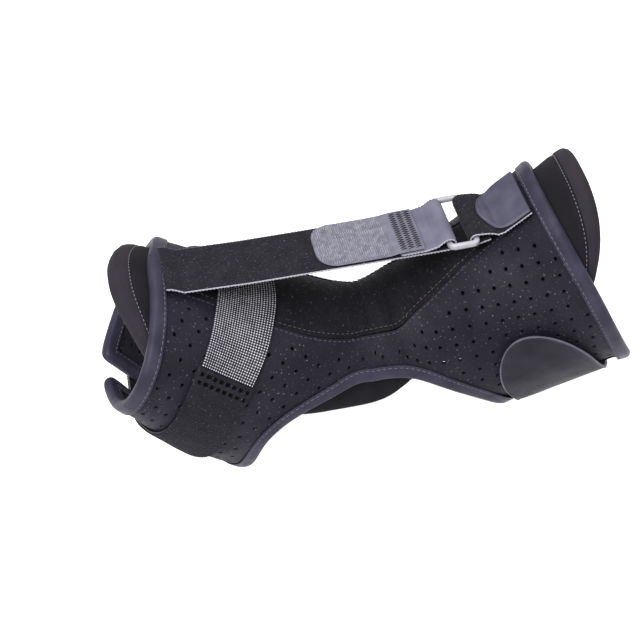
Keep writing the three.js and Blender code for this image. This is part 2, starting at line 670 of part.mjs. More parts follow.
// Shin tab: smooth tab over the anchor strap, sewn at the shin edge and rounded towards the ring.
const shinTabTip = barX + FOLD_EASE - TAB_END_GAP;
const underTab = [[shinTabTip, foldRadius], [barX + FOLD_EASE, foldRadius - FOLD_DROP], ...anchorSeats];
const shinTabLine = shifted(underTab, layer);
const shinTabBody = ribbon(shinTabLine, STRAP_WIDTH, STRAP_THICKNESS);
const shinTab = trimmed(shinTabBody, shinTabTip, 2 * SHIN_DEPTH, STRAP_WIDTH, STRAP_WIDTH / 2);
add("shin_tab", inStrapFrame(shinTab), 0x5b5a66, 0.7);

export default group;
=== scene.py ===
import math

import bpy
import numpy as np
from mathutils import Matrix, Vector, noise
from mathutils.geometry import delaunay_2d_cdt


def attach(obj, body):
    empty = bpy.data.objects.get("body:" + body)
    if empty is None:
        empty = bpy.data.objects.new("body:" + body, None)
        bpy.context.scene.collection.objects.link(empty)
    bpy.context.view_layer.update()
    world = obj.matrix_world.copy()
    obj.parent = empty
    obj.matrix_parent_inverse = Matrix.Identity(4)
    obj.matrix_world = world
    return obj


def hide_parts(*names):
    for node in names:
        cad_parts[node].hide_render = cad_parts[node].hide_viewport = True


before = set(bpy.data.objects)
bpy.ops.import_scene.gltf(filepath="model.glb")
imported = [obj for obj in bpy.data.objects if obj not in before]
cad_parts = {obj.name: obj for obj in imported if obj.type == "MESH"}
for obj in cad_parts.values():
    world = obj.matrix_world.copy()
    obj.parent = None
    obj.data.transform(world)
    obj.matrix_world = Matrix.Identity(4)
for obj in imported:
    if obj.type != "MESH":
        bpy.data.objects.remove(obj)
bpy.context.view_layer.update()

# Camera, floor and light
# A plain studio table: one long lens from above the outer side, a pale floor below the splint,
# and three large soft lights.
CAMERA_DISTANCE = 1.0
view_back = Vector((-0.1545, -0.7271, 0.6691)).normalized()
view_right = Vector((0.0, 0.0, 1.0)).cross(view_back).normalized()
view_up = view_back.cross(view_right)
camera = bpy.data.objects.new("camera", bpy.data.cameras.new("camera"))
camera.data.lens = 90
camera.data.sensor_width = 36
camera.data.clip_start = 0.05
camera.data.clip_end = 50
spot = view_back * CAMERA_DISTANCE - view_right * 0.035 + view_up * 0.0369
turn = Matrix((view_right, view_up, view_back)).transposed()
camera.matrix_world = Matrix.Translation(spot) @ turn.to_4x4()
bpy.context.scene.collection.objects.link(camera)
bpy.context.scene.camera = camera

FLOOR_LEVEL, FLOOR_REACH = -0.112, 9
floor_mesh = bpy.data.meshes.new("floor")
floor_sides = ((-1, -1), (1, -1), (1, 1), (-1, 1))
floor_corners = [(x * FLOOR_REACH, y * FLOOR_REACH, FLOOR_LEVEL) for x, y in floor_sides]
floor_mesh.from_pydata(floor_corners, [], [(0, 1, 2, 3)])
floor = bpy.data.objects.new("floor", floor_mesh)
bpy.context.scene.collection.objects.link(floor)


def finish_named(name, roughness, shine=0.1):
    """A new finish: its material, its nodes, a way to add a node, and its shader."""
    finish = bpy.data.materials.new(name)
    finish.use_nodes = True
    nodes = finish.node_tree.nodes
    links = finish.node_tree.links
    shader = nodes["Principled BSDF"]
    shader.inputs["Roughness"].default_value = roughness
    shader.inputs["Specular IOR Level"].default_value = shine

    def node(kind, values=None, **inputs):
        made = nodes.new("ShaderNode" + kind)
        for key, value in (values or {}).items():
            setattr(made, key, value)
        for key, value in inputs.items():
            place = int(key[1:]) if key[0] == "i" and key[1:].isdigit() else key.replace("_", " ")
            if isinstance(value, bpy.types.NodeSocket):
                links.new(value, made.inputs[place])
            else:
                made.inputs[place].default_value = value
        return made

    return finish, node, links, shader


def ramp(node, source, stops):
    """A colour ramp over a source, from (place, colour) stops."""
    made = node("ValToRGB", None, Fac=source)
    bar = made.color_ramp.elements
    while len(bar) < len(stops):
        bar.new(0.5)
    for stop, (place, colour) in zip(bar, stops):
        stop.position = place
        stop.color = (*colour, 1.0) if len(colour) == 3 else colour
    return made.outputs["Color"]


paper, node, links, shader = finish_named("floor_paper", 0.9)
grain = node("TexNoise", None, Scale=3.0, Detail=2.0)
pale = [(0.3, (0.88, 0.88, 0.885)), (0.7, (0.9, 0.9, 0.905))]
links.new(ramp(node, grain.outputs["Fac"], pale), shader.inputs["Base Color"])
floor.data.materials.append(paper)


def soft_light(name, where, aim, size, power):
    lamp = bpy.data.objects.new(name, bpy.data.lights.new(name, "AREA"))
    lamp.data.shape = "RECTANGLE"
    lamp.data.size, lamp.data.size_y = size
    lamp.data.energy = power
    lamp.location = where
    lamp.rotation_euler = (Vector(where) - Vector(aim)).to_track_quat("Z", "Y").to_euler()
    bpy.context.scene.collection.objects.link(lamp)


soft_light("window", (-0.9, -0.9, 1.6), (0, 0, 0), (1.2, 1.2), 62)
soft_light("overhead", (0.3, 0.5, 1.9), (0, 0, 0), (1.8, 1.2), 34)
soft_light("leg_side", (1.5, -0.9, 0.8), (0.05, 0, 0.02), (1.2, 1.0), 4)
sky = bpy.data.worlds.new("studio")
sky.use_nodes = True
sky.node_tree.nodes["Background"].inputs["Color"].default_value = (1.0, 1.0, 1.0, 1.0)
sky.node_tree.nodes["Background"].inputs["Strength"].default_value = 0.55
bpy.context.scene.world = sky
bpy.context.scene.view_settings.view_transform = "Standard"
bpy.context.scene.view_settings.look = "None"

# Side panels
# Two panels of perforated laminated knit, 4 mm thick, one on each side of the wrap. They are cut flat with a
# regular grid of punched holes, and sewn to the plush panel between them.
WRAP_THICKNESS = 4.0
WRAP_BASE = 0.15
WRAP_TOP = WRAP_BASE + WRAP_THICKNESS
FOOT_REACH, SOLE_DROP, FOREFOOT_WIDTH = 168.0, 82.0, 108.0
SHIN_REACH, SHIN_DEPTH, SHIN_WIDTH = 155.0, 126.0, 110.0
FOOT_PITCH, SHIN_SLOPE = math.radians(43), math.radians(36)
ROUNDNESS = 2.2
FOOT_SECTIONS = [  # reach, crest, reach of the sole, sole, half width, twist
    (1.16, -0.2, 1.0, -0.94, 0.46, 5),
    (1.0, -0.11, 0.87, -0.97, 0.5, 5),
    (0.73, 0.05, 0.7, -1.03, 0.52, 6),
    (0.52, 0.26, 0.47, -1.08, 0.51, 7),
    (0.34, 0.445, 0.2, -1.04, 0.45, 7),
]
SHIN_SECTIONS = [  # up, front, up at the back, back, half width, twist
    (0.36, 0.415, 0.3, -0.38, 0.41, 4),
    (0.56, 0.41, 0.52, -0.45, 0.42, 2),
    (0.78, 0.41, 0.78, -0.53, 0.46, 0),
    (1.0, 0.42, 1.0, -0.6, 0.5, 0),
    (1.2, 0.44, 1.2, -0.64, 0.53, 0),
]


def on_foot(forward, rise):
    c, s = math.cos(FOOT_PITCH), math.sin(FOOT_PITCH)
    return [-forward * c + rise * s, forward * s + rise * c]


def on_leg(up, front):
    c, s = math.cos(SHIN_SLOPE), math.sin(SHIN_SLOPE)
    return [up * c - front * s, up * s + front * c]


stations = []
for reach, crest, sole_reach, sole, half, twist in FOOT_SECTIONS:
    top = on_foot(reach * FOOT_REACH, crest * SOLE_DROP)
    bottom = on_foot(sole_reach * FOOT_REACH, sole * SOLE_DROP)
    stations.append((-reach, [*top, *bottom, half * FOREFOOT_WIDTH, twist]))
bend = [-0.05 * SOLE_DROP, 0.87 * SOLE_DROP, -0.1 * SOLE_DROP, -SOLE_DROP, 0.42 * FOREFOOT_WIDTH, 6]
stations.append((0.0, bend))
for up, front, back_up, back, half, twist in SHIN_SECTIONS:
    top = on_leg(up * SHIN_REACH, front * SHIN_DEPTH)
    bottom = on_leg(back_up * SHIN_REACH, back * SHIN_DEPTH)
    stations.append((up, [*top, *bottom, half * SHIN_WIDTH, twist]))
station_w = np.array([w for w, _ in stations])
station_values = np.array([values for _, values in stations])


def smooth_at(places, values, w):
    """Smooth interpolation of rows of values at the places w."""
    w = np.asarray(w, float)
    last = len(places) - 1
    k = np.clip(np.searchsorted(places, w) - 1, 0, last - 1)
    before, after = np.maximum(k - 1, 0), np.minimum(k + 2, last)
    a, b = values[k], values[k + 1]
    span = places[k + 1] - places[k]
    t = ((w - places[k]) / span)[..., None]
    slope_a = (b - values[before]) / (places[k + 1] - places[before])[..., None]
    slope_b = (values[after] - a) / (places[after] - places[k])[..., None]
    span = span[..., None]
    start = 2 * t**3 - 3 * t**2 + 1
    leave, arrive = t**3 - 2 * t**2 + t, t**3 - t**2
    return start * a + (1 - start) * b + leave * span * slope_a + arrive * span * slope_b


def skin(w, angle):
    """Points of the surface between pad and wrap, in millimetres."""
    w, angle = np.broadcast_arrays(np.asarray(w, float), np.asarray(angle, float))
    cx, cz, bx, bz, half, twist = np.moveaxis(smooth_at(station_w, station_values, w), -1, 0)
    nx, nz = (cx - bx) / 2, (cz - bz) / 2
    depth = np.hypot(nx, nz)
    a, turned = np.radians(angle), np.radians(angle + twist)
    tall, wide = np.abs(np.cos(turned) / depth), np.abs(np.sin(turned) / half)
    r = (tall**ROUNDNESS + wide**ROUNDNESS) ** (-1 / ROUNDNESS)
    along = r * np.cos(a) / depth
    return np.stack([(cx + bx) / 2 + nx * along, r * np.sin(a), (cz + bz) / 2 + nz * along], -1)


def skin_normal(w, angle):
    lengthwise = skin(w + 0.004, angle) - skin(w - 0.004, angle)
    across = np.cross(lengthwise, skin(w, angle + 0.5) - skin(w, angle - 0.5))
    return across / np.linalg.norm(across, axis=-1, keepdims=True)


def over_skin(w, angle, height):
    w, angle = np.asarray(w, float), np.asarray(angle, float)
    return skin(w, angle) + skin_normal(w, angle) * np.asarray(height, float)[..., None]


def ease(t):
    c = np.clip(t, 0, 1)
    return c * c * (3 - 2 * c)


def reach_along(points):
    """Distance of each point from the first, along the line."""
    return np.concatenate([[0], np.cumsum(np.linalg.norm(np.diff(points, axis=0), axis=1))])


# The wrap laid flat: distance along the splint, and distance round it from the crest.
flat_w = np.linspace(-1.2, 1.2, 241)
flat_angle = np.linspace(0, 180, 181)
side_line = skin(flat_w, np.full_like(flat_w, -80.0))
flat_length = reach_along(side_line)


def girth_table(side):
    ww, aa = np.meshgrid(flat_w, flat_angle * side, indexing="ij")
    steps = np.linalg.norm(np.diff(skin(ww, aa), axis=1), axis=2)
    return np.concatenate([np.zeros((len(flat_w), 1)), np.cumsum(steps, axis=1)], axis=1)


girths = {-1: girth_table(-1), 1: girth_table(1)}


def girth_rows(w, side):
    place = np.interp(w, flat_w, np.arange(len(flat_w)))
    k = np.minimum(place.astype(int), len(flat_w) - 2)
    share = (place - k)[:, None]
    return girths[side][k] * (1 - share) + girths[side][k + 1] * share


def laid_flat(w, angle):
    w, angle = np.asarray(w, float), np.asarray(angle, float)
    y = np.empty_like(w)
    for side in (-1, 1):
        here = (angle < 0) == (side < 0)
        rows = girth_rows(w[here], side)
        y[here] = [side * np.interp(abs(a), flat_angle, row) for a, row in zip(angle[here], rows)]
    return np.stack([np.interp(w, flat_w, flat_length), y], -1)


def folded_up(flat):
    w = np.interp(flat[:, 0], flat_length, flat_w)
    angle = np.empty_like(w)
    for side in (-1, 1):
        here = (flat[:, 1] < 0) == (side < 0)
        rows = girth_rows(w[here], side)
        angle[here] = [side * np.interp(abs(y), row, flat_angle) for y, row in zip(flat[here, 1], rows)]
    return w, angle


SEAM_W = np.array([-1.2, -0.85, -0.52, -0.3, 0.0, 0.32, 0.62, 0.85, 1.2])
SEAM_ANGLE = np.array([19, 20, 29, 23.5, 21, 27, 16, 12, 12.0])


def seam_angle(w):
    return smooth_at(SEAM_W, SEAM_ANGLE[:, None], w)[..., 0]


# The edge of the wrap, in w and angle: front edge, front wing, opening, back wing and back edge.
OPENING_FRONT, OPENING_BACK, ARCH_TOP, ARCH_SHARE = 0.54, 0.43, 39.5, 0.6
FOOT_SHAPE, CALF_SHAPE, ARCH_CREST = 3.05, 2.08, -0.045
FOOT_WING, CALF_WING = 166.0, 152.0


def rounded(share, power):
    return (1 - np.minimum(share, 1) ** power) ** (1 / power)


def toe_edge(angle):
    return -1.04 + 0.11 * np.sin(np.radians(np.maximum(angle, 0))) ** 2


def shin_edge(angle):
    return 1 - 0.12 * (1 - np.cos(np.radians(angle))) / 2


def heel_edge_of_foot(angle):
    share = rounded((180 - angle) / (180 - ARCH_TOP), FOOT_SHAPE)
    return -share * OPENING_FRONT + 0.13 * ease((angle - 75) / 75)


def heel_edge_of_calf(angle):
    return rounded((180 - angle) / (180 - ARCH_TOP), CALF_SHAPE) * OPENING_BACK


def arch_edge(w):
    """Angle of the arch between the two wings at w."""
    on_foot_side = rounded(np.maximum(-w, 0) / OPENING_FRONT, FOOT_SHAPE)
    on_calf_side = rounded(np.maximum(w, 0) / OPENING_BACK, CALF_SHAPE)
    end = np.where(w < ARCH_CREST, -ARCH_SHARE * OPENING_FRONT, ARCH_SHARE * OPENING_BACK)
    lower = 1.7 * np.sin(np.pi * np.clip((w - ARCH_CREST) / (end - ARCH_CREST), 0, 1))
    return 180 - (180 - ARCH_TOP) * np.where(w < 0, on_foot_side, on_calf_side) + lower


def edge_of_side(side):
    foot_corner = 180 - (180 - ARCH_TOP) * rounded(ARCH_SHARE, FOOT_SHAPE)
    calf_corner = 180 - (180 - ARCH_TOP) * rounded(ARCH_SHARE, CALF_SHAPE)
    parts = []
    angle = np.linspace(0, FOOT_WING, 90)
    parts.append((toe_edge(side * angle), angle))
    w = np.linspace(toe_edge(side * FOOT_WING), heel_edge_of_foot(np.array(FOOT_WING)), 30)[1:]
    parts.append((w, np.full_like(w, FOOT_WING)))
    angle = np.linspace(FOOT_WING, foot_corner, 80)[1:]
    parts.append((heel_edge_of_foot(angle), angle))
    w = np.linspace(-ARCH_SHARE * OPENING_FRONT, ARCH_SHARE * OPENING_BACK, 100)[1:]
    parts.append((w, arch_edge(w)))
    angle = np.linspace(calf_corner, CALF_WING, 70)[1:]
    parts.append((heel_edge_of_calf(angle), angle))
    w = np.linspace(heel_edge_of_calf(np.array(CALF_WING)), shin_edge(CALF_WING), 40)[1:]
    parts.append((w, np.full_like(w, CALF_WING)))
    angle = np.linspace(CALF_WING, 0, 90)[1:]
    parts.append((shin_edge(angle), angle))
    return np.concatenate([p[0] for p in parts]), side * np.concatenate([p[1] for p in parts])


def evenly(points, step, closed):
    """The same line with its points a step apart."""
    line = np.vstack([points, points[:1]]) if closed else np.asarray(points)
    reach = reach_along(line)
    count = max(2, round(reach[-1] / step))
    at = np.linspace(0, reach[-1], count + 1)
    if closed:
        at = at[:-1]
    return np.stack([np.interp(at, reach, line[:, k]) for k in range(line.shape[1])], -1)


w_out, angle_out = edge_of_side(-1)
w_in, angle_in = edge_of_side(1)
edge_w = np.concatenate([w_in, w_out[::-1][1:-1]])
edge_angle = np.concatenate([angle_in, angle_out[::-1][1:-1]])
edge_flat = evenly(laid_flat(edge_w, edge_angle), 1.0, True)
CORNER_ROUND = 4
for _ in range(3):
    shifted = [np.roll(edge_flat, k, axis=0) for k in range(-CORNER_ROUND, CORNER_ROUND + 1)]
    edge_flat = sum(shifted) / len(shifted)
edge_flat = evenly(edge_flat, 1.5, True)


CORNER_LIFT, CORNER_COLUMN = 3.0, 10.5


def corner_lift(w, angle):
    """The two corners at the calf end of the outer wing stand out."""
    w, angle = np.asarray(w, float), np.asarray(angle, float)
    turned = np.clip(-angle, 1, 179)
    low = heel_edge_of_calf(turned)
    share = (w - low) / np.maximum(shin_edge(turned) - low, 0.05)
    from_end = (CALF_WING - turned) / CORNER_COLUMN
    near_edge = np.maximum(ease(1 - share * 7), ease(1 - (1 - share) * 7))
    return np.where((angle < 0) & (w > 0.1), CORNER_LIFT * ease(1 - from_end / 4) * near_edge, 0.0)


def seam_line(side, trim):
    w = np.linspace(-1.06, 1.0, 170)
    flat = laid_flat(w, side * seam_angle(w))
    flat[:, 1] += side * trim
    return flat


def pile(points, scale, seed=0.0):
    return np.array([noise.noise(Vector((float(p[0]) * scale, float(p[1]) * scale, seed))) for p in points])


def make_piece(name, points_mm, faces, uv=None, finish=None, sharp=40):
    """A mesh object from points in millimetres, with its flat layout in metres as its texture layout."""
    mesh = bpy.data.meshes.new(name)
    mesh.from_pydata((np.asarray(points_mm) * 0.001).tolist(), [], [list(map(int, f)) for f in faces])
    mesh.validate()
    if uv is not None:
        layer = mesh.uv_layers.new(name="flat")
        loops = np.empty(len(mesh.loops), dtype=np.int32)
        mesh.loops.foreach_get("vertex_index", loops)
        layer.data.foreach_set("uv", (np.asarray(uv)[loops] * 0.001).astype(np.float32).ravel())
    mesh.polygons.foreach_set("use_smooth", [True] * len(mesh.polygons))
    mesh.set_sharp_from_angle(angle=math.radians(sharp))
    piece = bpy.data.objects.new(name, mesh)
    bpy.context.scene.collection.objects.link(piece)
    if finish:
        mesh.materials.append(finish)
    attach(piece, "root")
    return piece


HOLE_RADIUS, HOLE_RIM = 1.05, 1.4
HOLE_PITCH = (10.0, 9.2)
HOLE_TURN = math.radians(22)
HOLE_SIDES = 12
HOLE_MARGIN = 9.0
HOLE_GRID = 32
COLLAR, COLLAR_SIDES = 2.5, 8
CELL, CELL_FROM_EDGE, CELL_FROM_HOLE = 3.0, 1.5, 3.6


def perforated_panel(name, side, finish):
    seam = seam_line(side, 0.4)
    seam_at = lambda x: np.interp(x, seam[:, 0], np.abs(seam[:, 1]))
    beyond = side * edge_flat[:, 1] > seam_at(edge_flat[:, 0])
    first = int(np.argmax(beyond & ~np.roll(beyond, 1)))
    ring = [(first + k) % len(edge_flat) for k in range(len(edge_flat))]
    ring = edge_flat[[k for k in ring if beyond[k]]]
    low, high = sorted((ring[0][0], ring[-1][0]))
    between = seam[(seam[:, 0] > low + 1) & (seam[:, 0] < high - 1)]
    if ring[-1][0] > ring[0][0]:
        between = between[::-1]
    border = np.vstack([ring, between])

    def inside(p):
        x, y = border[:, 0], border[:, 1]
        x2, y2 = np.roll(x, -1), np.roll(y, -1)
        crossing = (x2 - x) * (p[1] - y) / np.where(y2 == y, 1e-9, y2 - y) + x
        hit = ((y > p[1]) != (y2 > p[1])) & (p[0] < crossing)
        return np.count_nonzero(hit) % 2 == 1

    def clear(p, gap):
        return np.min(np.hypot(border[:, 0] - p[0], border[:, 1] - p[1])) > gap

    c, s = math.cos(HOLE_TURN), math.sin(HOLE_TURN) * side
    holes = []
    middle = border.mean(axis=0)
    for i in range(-HOLE_GRID, HOLE_GRID + 1):
        for j in range(-HOLE_GRID, HOLE_GRID + 1):
            x, y = i * HOLE_PITCH[0], j * HOLE_PITCH[1]
            p = (middle[0] + c * x - s * y, middle[1] + s * x + c * y)
            if inside(p) and clear(p, HOLE_MARGIN):
                holes.append(p)
    holes = np.array(holes)
    spots, owner = list(map(tuple, border)), [-1] * len(border)
    lines = [(k, (k + 1) % len(border)) for k in range(len(border))]
    hole_rings = []
    for h, p in enumerate(holes):
        ring_of_hole = list(range(len(spots), len(spots) + HOLE_SIDES))
        for k in range(HOLE_SIDES):
            t = 2 * math.pi * k / HOLE_SIDES
            spots.append((p[0] + HOLE_RIM * math.cos(t), p[1] + HOLE_RIM * math.sin(t)))
            owner.append(h)
        lines += [(ring_of_hole[k], ring_of_hole[(k + 1) % HOLE_SIDES]) for k in range(HOLE_SIDES)]
        hole_rings.append(ring_of_hole)
        for k in range(COLLAR_SIDES):
            t = 2 * math.pi * (k + 0.5) / COLLAR_SIDES
            spots.append((p[0] + COLLAR * math.cos(t), p[1] + COLLAR * math.sin(t)))
            owner.append(-1)
    for x in np.arange(border[:, 0].min(), border[:, 0].max(), CELL):
        for y in np.arange(border[:, 1].min(), border[:, 1].max(), CELL):
            from_hole = np.min(np.hypot(holes[:, 0] - x, holes[:, 1] - y))
            if inside((x, y)) and clear((x, y), CELL_FROM_EDGE) and from_hole > CELL_FROM_HOLE:
                spots.append((x, y))
                owner.append(-1)
    found = delaunay_2d_cdt([Vector(p) for p in spots], lines, [list(range(len(border)))], 1, 1e-5)
    flat = np.array([tuple(v) for v in found[0]])
    owners = [owner[o[0]] if o else -1 for o in found[3]]
    new_index = {o: k for k, olds in enumerate(found[3]) for o in olds}
    cells = []
    for f in found[2]:
        tags = {owners[k] for k in f}
        if len(tags) == 1 and tags != {-1}:
            continue
        p, q, r = (flat[k] for k in f)
        turned = (q[0] - p[0]) * (r[1] - p[1]) - (q[1] - p[1]) * (r[0] - p[0])
        cells.append(tuple(f) if turned > 0 else tuple(reversed(f)))
    w, angle = folded_up(flat)
    lift = corner_lift(w, angle) + 0.6 * pile(flat, 0.04, 3.0 + side)
    count = len(flat)
    outer = over_skin(w, angle, WRAP_TOP + lift)
    inner = over_skin(w, angle, WRAP_BASE + lift)
    points, layout = [outer, inner], [flat, flat]
    faces = [f for f in cells] + [tuple(count + k for k in reversed(f)) for f in cells]
    rims = []
    for p, ring_of_hole in zip(holes, hole_rings):
        t = 2 * np.pi * np.arange(HOLE_SIDES) / HOLE_SIDES
        rims.append(np.stack([p[0] + HOLE_RADIUS * np.cos(t), p[1] + HOLE_RADIUS * np.sin(t)], -1))
    rims = np.vstack(rims)
    rim_w, rim_angle = folded_up(rims)
    rim_lift = corner_lift(rim_w, rim_angle) + 0.6 * pile(rims, 0.04, 3.0 + side)
    for height in (WRAP_THICKNESS - 0.4, 0.55):
        points.append(over_skin(rim_w, rim_angle, WRAP_BASE + height + rim_lift))
        layout.append(rims)
    for h, ring_of_hole in enumerate(hole_rings):
        top = [new_index[k] for k in ring_of_hole]
        loops = [top, [2 * count + h * HOLE_SIDES + k for k in range(HOLE_SIDES)]]
        loops.append([2 * count + len(rims) + h * HOLE_SIDES + k for k in range(HOLE_SIDES)])
        loops.append([count + k for k in top])
        for a, b in zip(loops, loops[1:]):
            for k in range(HOLE_SIDES):
                n = (k + 1) % HOLE_SIDES
                faces.append((a[n], a[k], b[k], b[n]))
    rim_ring = [new_index[k] for k in range(len(border))]
    ahead = np.roll(border, -1, axis=0)
    area = 0.5 * (np.dot(border[:, 0], ahead[:, 1]) - np.dot(border[:, 1], ahead[:, 0]))
    for k in range(len(rim_ring)):
        a, b = rim_ring[k], rim_ring[(k + 1) % len(rim_ring)]
        faces.append((b, a, count + a, count + b) if area > 0 else (a, b, count + b, count + a))
    piece = make_piece(name, np.vstack(points), faces, np.vstack(layout), finish)
    width = border[:, 1].max() - border[:, 1].min()
    length = border[:, 0].max() - border[:, 0].min()
    return piece, (width * 0.001, length * 0.001), abs(area) * 1e-6


def flat_layout(node):
    """Places on a piece laid flat, in metres."""
    return node("UVMap", {"uv_map": "flat"}).outputs["UV"]


def mottle(node, where, scale, detail, roughness=0.5):
    return node("TexNoise", None, Vector=where, Scale=scale, Detail=detail, Roughness=roughness).outputs["Fac"]


def bumps(node, links, shader, *layers):
    """Bumps laid over each other, each from its strength, distance and height."""
    below = {}
    for strength, distance, height in layers:
        made = node("Bump", None, Strength=strength, Distance=distance, Height=height, **below)
        below = {"Normal": made.outputs["Normal"]}
    links.new(below["Normal"], shader.inputs["Normal"])


def faint_sheen(shader, roughness=None, tint=None):
    shader.inputs["Sheen Weight"].default_value = 0.02
    if roughness:
        shader.inputs["Sheen Roughness"].default_value = roughness
    if tint:
        shader.inputs["Sheen Tint"].default_value = (*tint, 1)


def laminated_knit():
    finish, node, links, shader = finish_named("perforated_shell", 0.62)
    flat = flat_layout(node)
    cloud = mottle(node, flat, 28.0, 5.0, 0.6)
    tint = ramp(node, cloud, [(0.32, (0.0062, 0.0055, 0.0095)), (0.72, (0.0125, 0.0112, 0.019))])
    knit = node("TexVoronoi", {"feature": "F1"}, Vector=flat, Scale=900.0).outputs["Distance"]
    # Painted highlight: tiny bright glints from a fine noise, mixed into the base colour.
    glint_spots = mottle(node, flat, 620.0, 2.0)
    glint = ramp(node, glint_spots, [(0.65, (0, 0, 0)), (0.75, (1, 1, 1))])
    mix = node("Mix", {"data_type": "RGBA", "blend_type": "MIX"}, i0=glint, i6=tint, i7=(0.1, 0.096, 0.125, 1))
    links.new(mix.outputs[2], shader.inputs["Base Color"])
    worn = [(0.3, (0.72, 0.72, 0.72)), (0.75, (0.5, 0.5, 0.5))]
    links.new(ramp(node, cloud, worn), shader.inputs["Roughness"])
    bumps(node, links, shader, (0.35, 0.0003, knit), (0.3, 0.0012, cloud))
    faint_sheen(shader, 0.45, (0.62, 0.6, 0.85))
    return finish


shell = laminated_knit()
for node_name, side in (("outer_panel", -1), ("inner_panel", 1)):
    panel, panel_flat, panel_area = perforated_panel(node_name + "_knit", side, shell)
    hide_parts(node_name)

# Plush panel over the instep
# Brushed stretch fabric along the crest of the wrap, butted to the side panels and sewn flat to them on both
# sides with a visible line of stitches.
NAP_ROWS, NAP_COLS = 260, 44


def grid_faces(rows, cols, start=0):
    corners = [start + i * cols + j for i in range(rows - 1) for j in range(cols - 1)]
    return [(a, a + 1, a + cols + 1, a + cols) for a in corners]


def rim_of(rows, cols):
    """The rows and columns round the edge of a grid."""
    rim = [(0, j) for j in range(cols - 1)] + [(i, cols - 1) for i in range(rows - 1)]
    return rim + [(rows - 1, j) for j in range(cols - 1, 0, -1)] + [(i, 0) for i in range(rows - 1, 0, -1)]


def tube_faces(rings, sides, start=0, turned=False, closed=False):
    """Faces of a tube of rings of points, closed on itself or capped at both ends."""
    faces = []
    for r in range(rings if closed else rings - 1):
        here, there = start + r * sides, start + (r + 1) % rings * sides
        for m in range(sides):
            n = (m + 1) % sides
            faces.append((here + m, here + n, there + n, there + m))
    if not closed:
        last = start + (rings - 1) * sides
        faces.append(tuple(start + m for m in reversed(range(sides))))
        faces.append(tuple(last + m for m in range(sides)))
    return [face[::-1] for face in faces] if turned else faces


def sheet_piece(name, upper, lower, layout, finish):
    """A closed sheet from two grids of points, rows by columns."""
    rows, cols = upper.shape[:2]
    count = rows * cols
    faces = [tuple(reversed(f)) for f in grid_faces(rows, cols)] + grid_faces(rows, cols, count)
    rim = [i * cols + j for i, j in rim_of(rows, cols)]
    for a, b in zip(rim, rim[1:] + rim[:1]):
        faces.append((a, b, count + b, count + a))
    points = np.vstack([upper.reshape(-1, 3), lower.reshape(-1, 3)])
    flat = layout.reshape(-1, 2)
    return make_piece(name, points, faces, np.vstack([flat, flat]), finish)


share = np.linspace(-1, 1, NAP_COLS)
nap_w = np.linspace(-1.036, 0.995, NAP_ROWS)[:, None] + 0 * share[None, :]
nap_angle = seam_angle(nap_w) * share[None, :] * (1 - 0.3 / 22)
nap_flat = laid_flat(nap_w.ravel(), nap_angle.ravel()).reshape(NAP_ROWS, NAP_COLS, 2)
rolled = 0.9 * (1 - np.abs(share) ** 10)[None, :] - 0.9
crumple = 1.1 * pile(nap_flat.reshape(-1, 2), 0.05, 9.0).reshape(NAP_ROWS, NAP_COLS)
folds = np.exp(-((nap_w + 0.05) / 0.22) ** 2) * np.cos(nap_w * 62 + 1.2 * np.sin(3 * share[None, :]))
crumple += 0.35 * folds
crumple = crumple * (1 - np.abs(share) ** 6)[None, :]
nap_upper = over_skin(nap_w, nap_angle, WRAP_TOP + rolled + crumple)
nap_lower = over_skin(nap_w, nap_angle, WRAP_BASE + np.zeros_like(nap_w))


def brushed_plush():
    finish, node, links, shader = finish_named("plush", 0.85)
    flat = flat_layout(node)
    cloud = mottle(node, flat, 45.0, 6.0, 0.65)
    tint = ramp(node, cloud, [(0.3, (0.0035, 0.0031, 0.0045)), (0.75, (0.0095, 0.0087, 0.012))])
    speck = mottle(node, flat, 420.0, 3.0, 0.7)
    # Painted highlight: tiny bright glints from the fine speck noise, mixed into the base colour; the same
    # noise also sets bump and roughness.
    glint = ramp(node, speck, [(0.64, (0, 0, 0)), (0.72, (1, 1, 1))])
    mix = node("Mix", {"data_type": "RGBA", "blend_type": "MIX"}, i0=glint, i6=tint, i7=(0.12, 0.115, 0.13, 1))
    links.new(mix.outputs[2], shader.inputs["Base Color"])
    bumps(node, links, shader, (0.7, 0.0006, speck), (0.35, 0.002, cloud))
    worn = [(0.4, (0.92, 0.92, 0.92)), (0.75, (0.55, 0.55, 0.55))]
    links.new(ramp(node, speck, worn), shader.inputs["Roughness"])
    faint_sheen(shader, 0.5, (0.7, 0.68, 0.85))
    return finish


plush = brushed_plush()
dorsal = sheet_piece("dorsal_panel_plush", nap_upper, nap_lower, nap_flat, plush)
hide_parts("dorsal_panel")
nap_width = np.ptp(nap_flat[..., 1], axis=1)
nap_length = float(np.ptp(nap_flat[..., 0])) * 0.001


def stitch_row(name, points, normals, pitch, length, thick, finish, node_name):
    """A row of lock stitches: short threads that dive into the cloth at both ends."""
    reach = reach_along(points)
    count = int(reach[-1] / pitch)
    verts, faces, layout = [], [], []
    sides, rings = 6, 5
    for k in range(count):
        mid = (k + 0.5) * reach[-1] / count
        at = lambda d, line: np.array([np.interp(d, reach, line[:, c]) for c in range(3)])
        n = at(mid, normals)
        n /= np.linalg.norm(n)
        t = at(mid + 0.5, points) - at(mid - 0.5, points)
        t -= n * t.dot(n)
        t /= np.linalg.norm(t)
        side = np.cross(n, t)
        centre = at(mid, points)
        start = len(verts)
        for r in range(rings):
            q = 2 * r / (rings - 1) - 1
            size = thick * math.sqrt(max(0.12, 1 - abs(q) ** 3))
            spot = centre + t * (q * length / 2) + n * (thick * 0.75 * (1 - q * q) - thick * 0.35)
            for m in range(sides):
                a = 2 * math.pi * m / sides
                verts.append(spot + side * (size * math.cos(a)) + n * (size * 0.8 * math.sin(a)))
                layout.append((k * pitch + r * length / rings, m * thick))
        faces += tube_faces(rings, sides, start)
    row = make_piece(name, verts, faces, layout, finish)
    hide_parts(node_name)


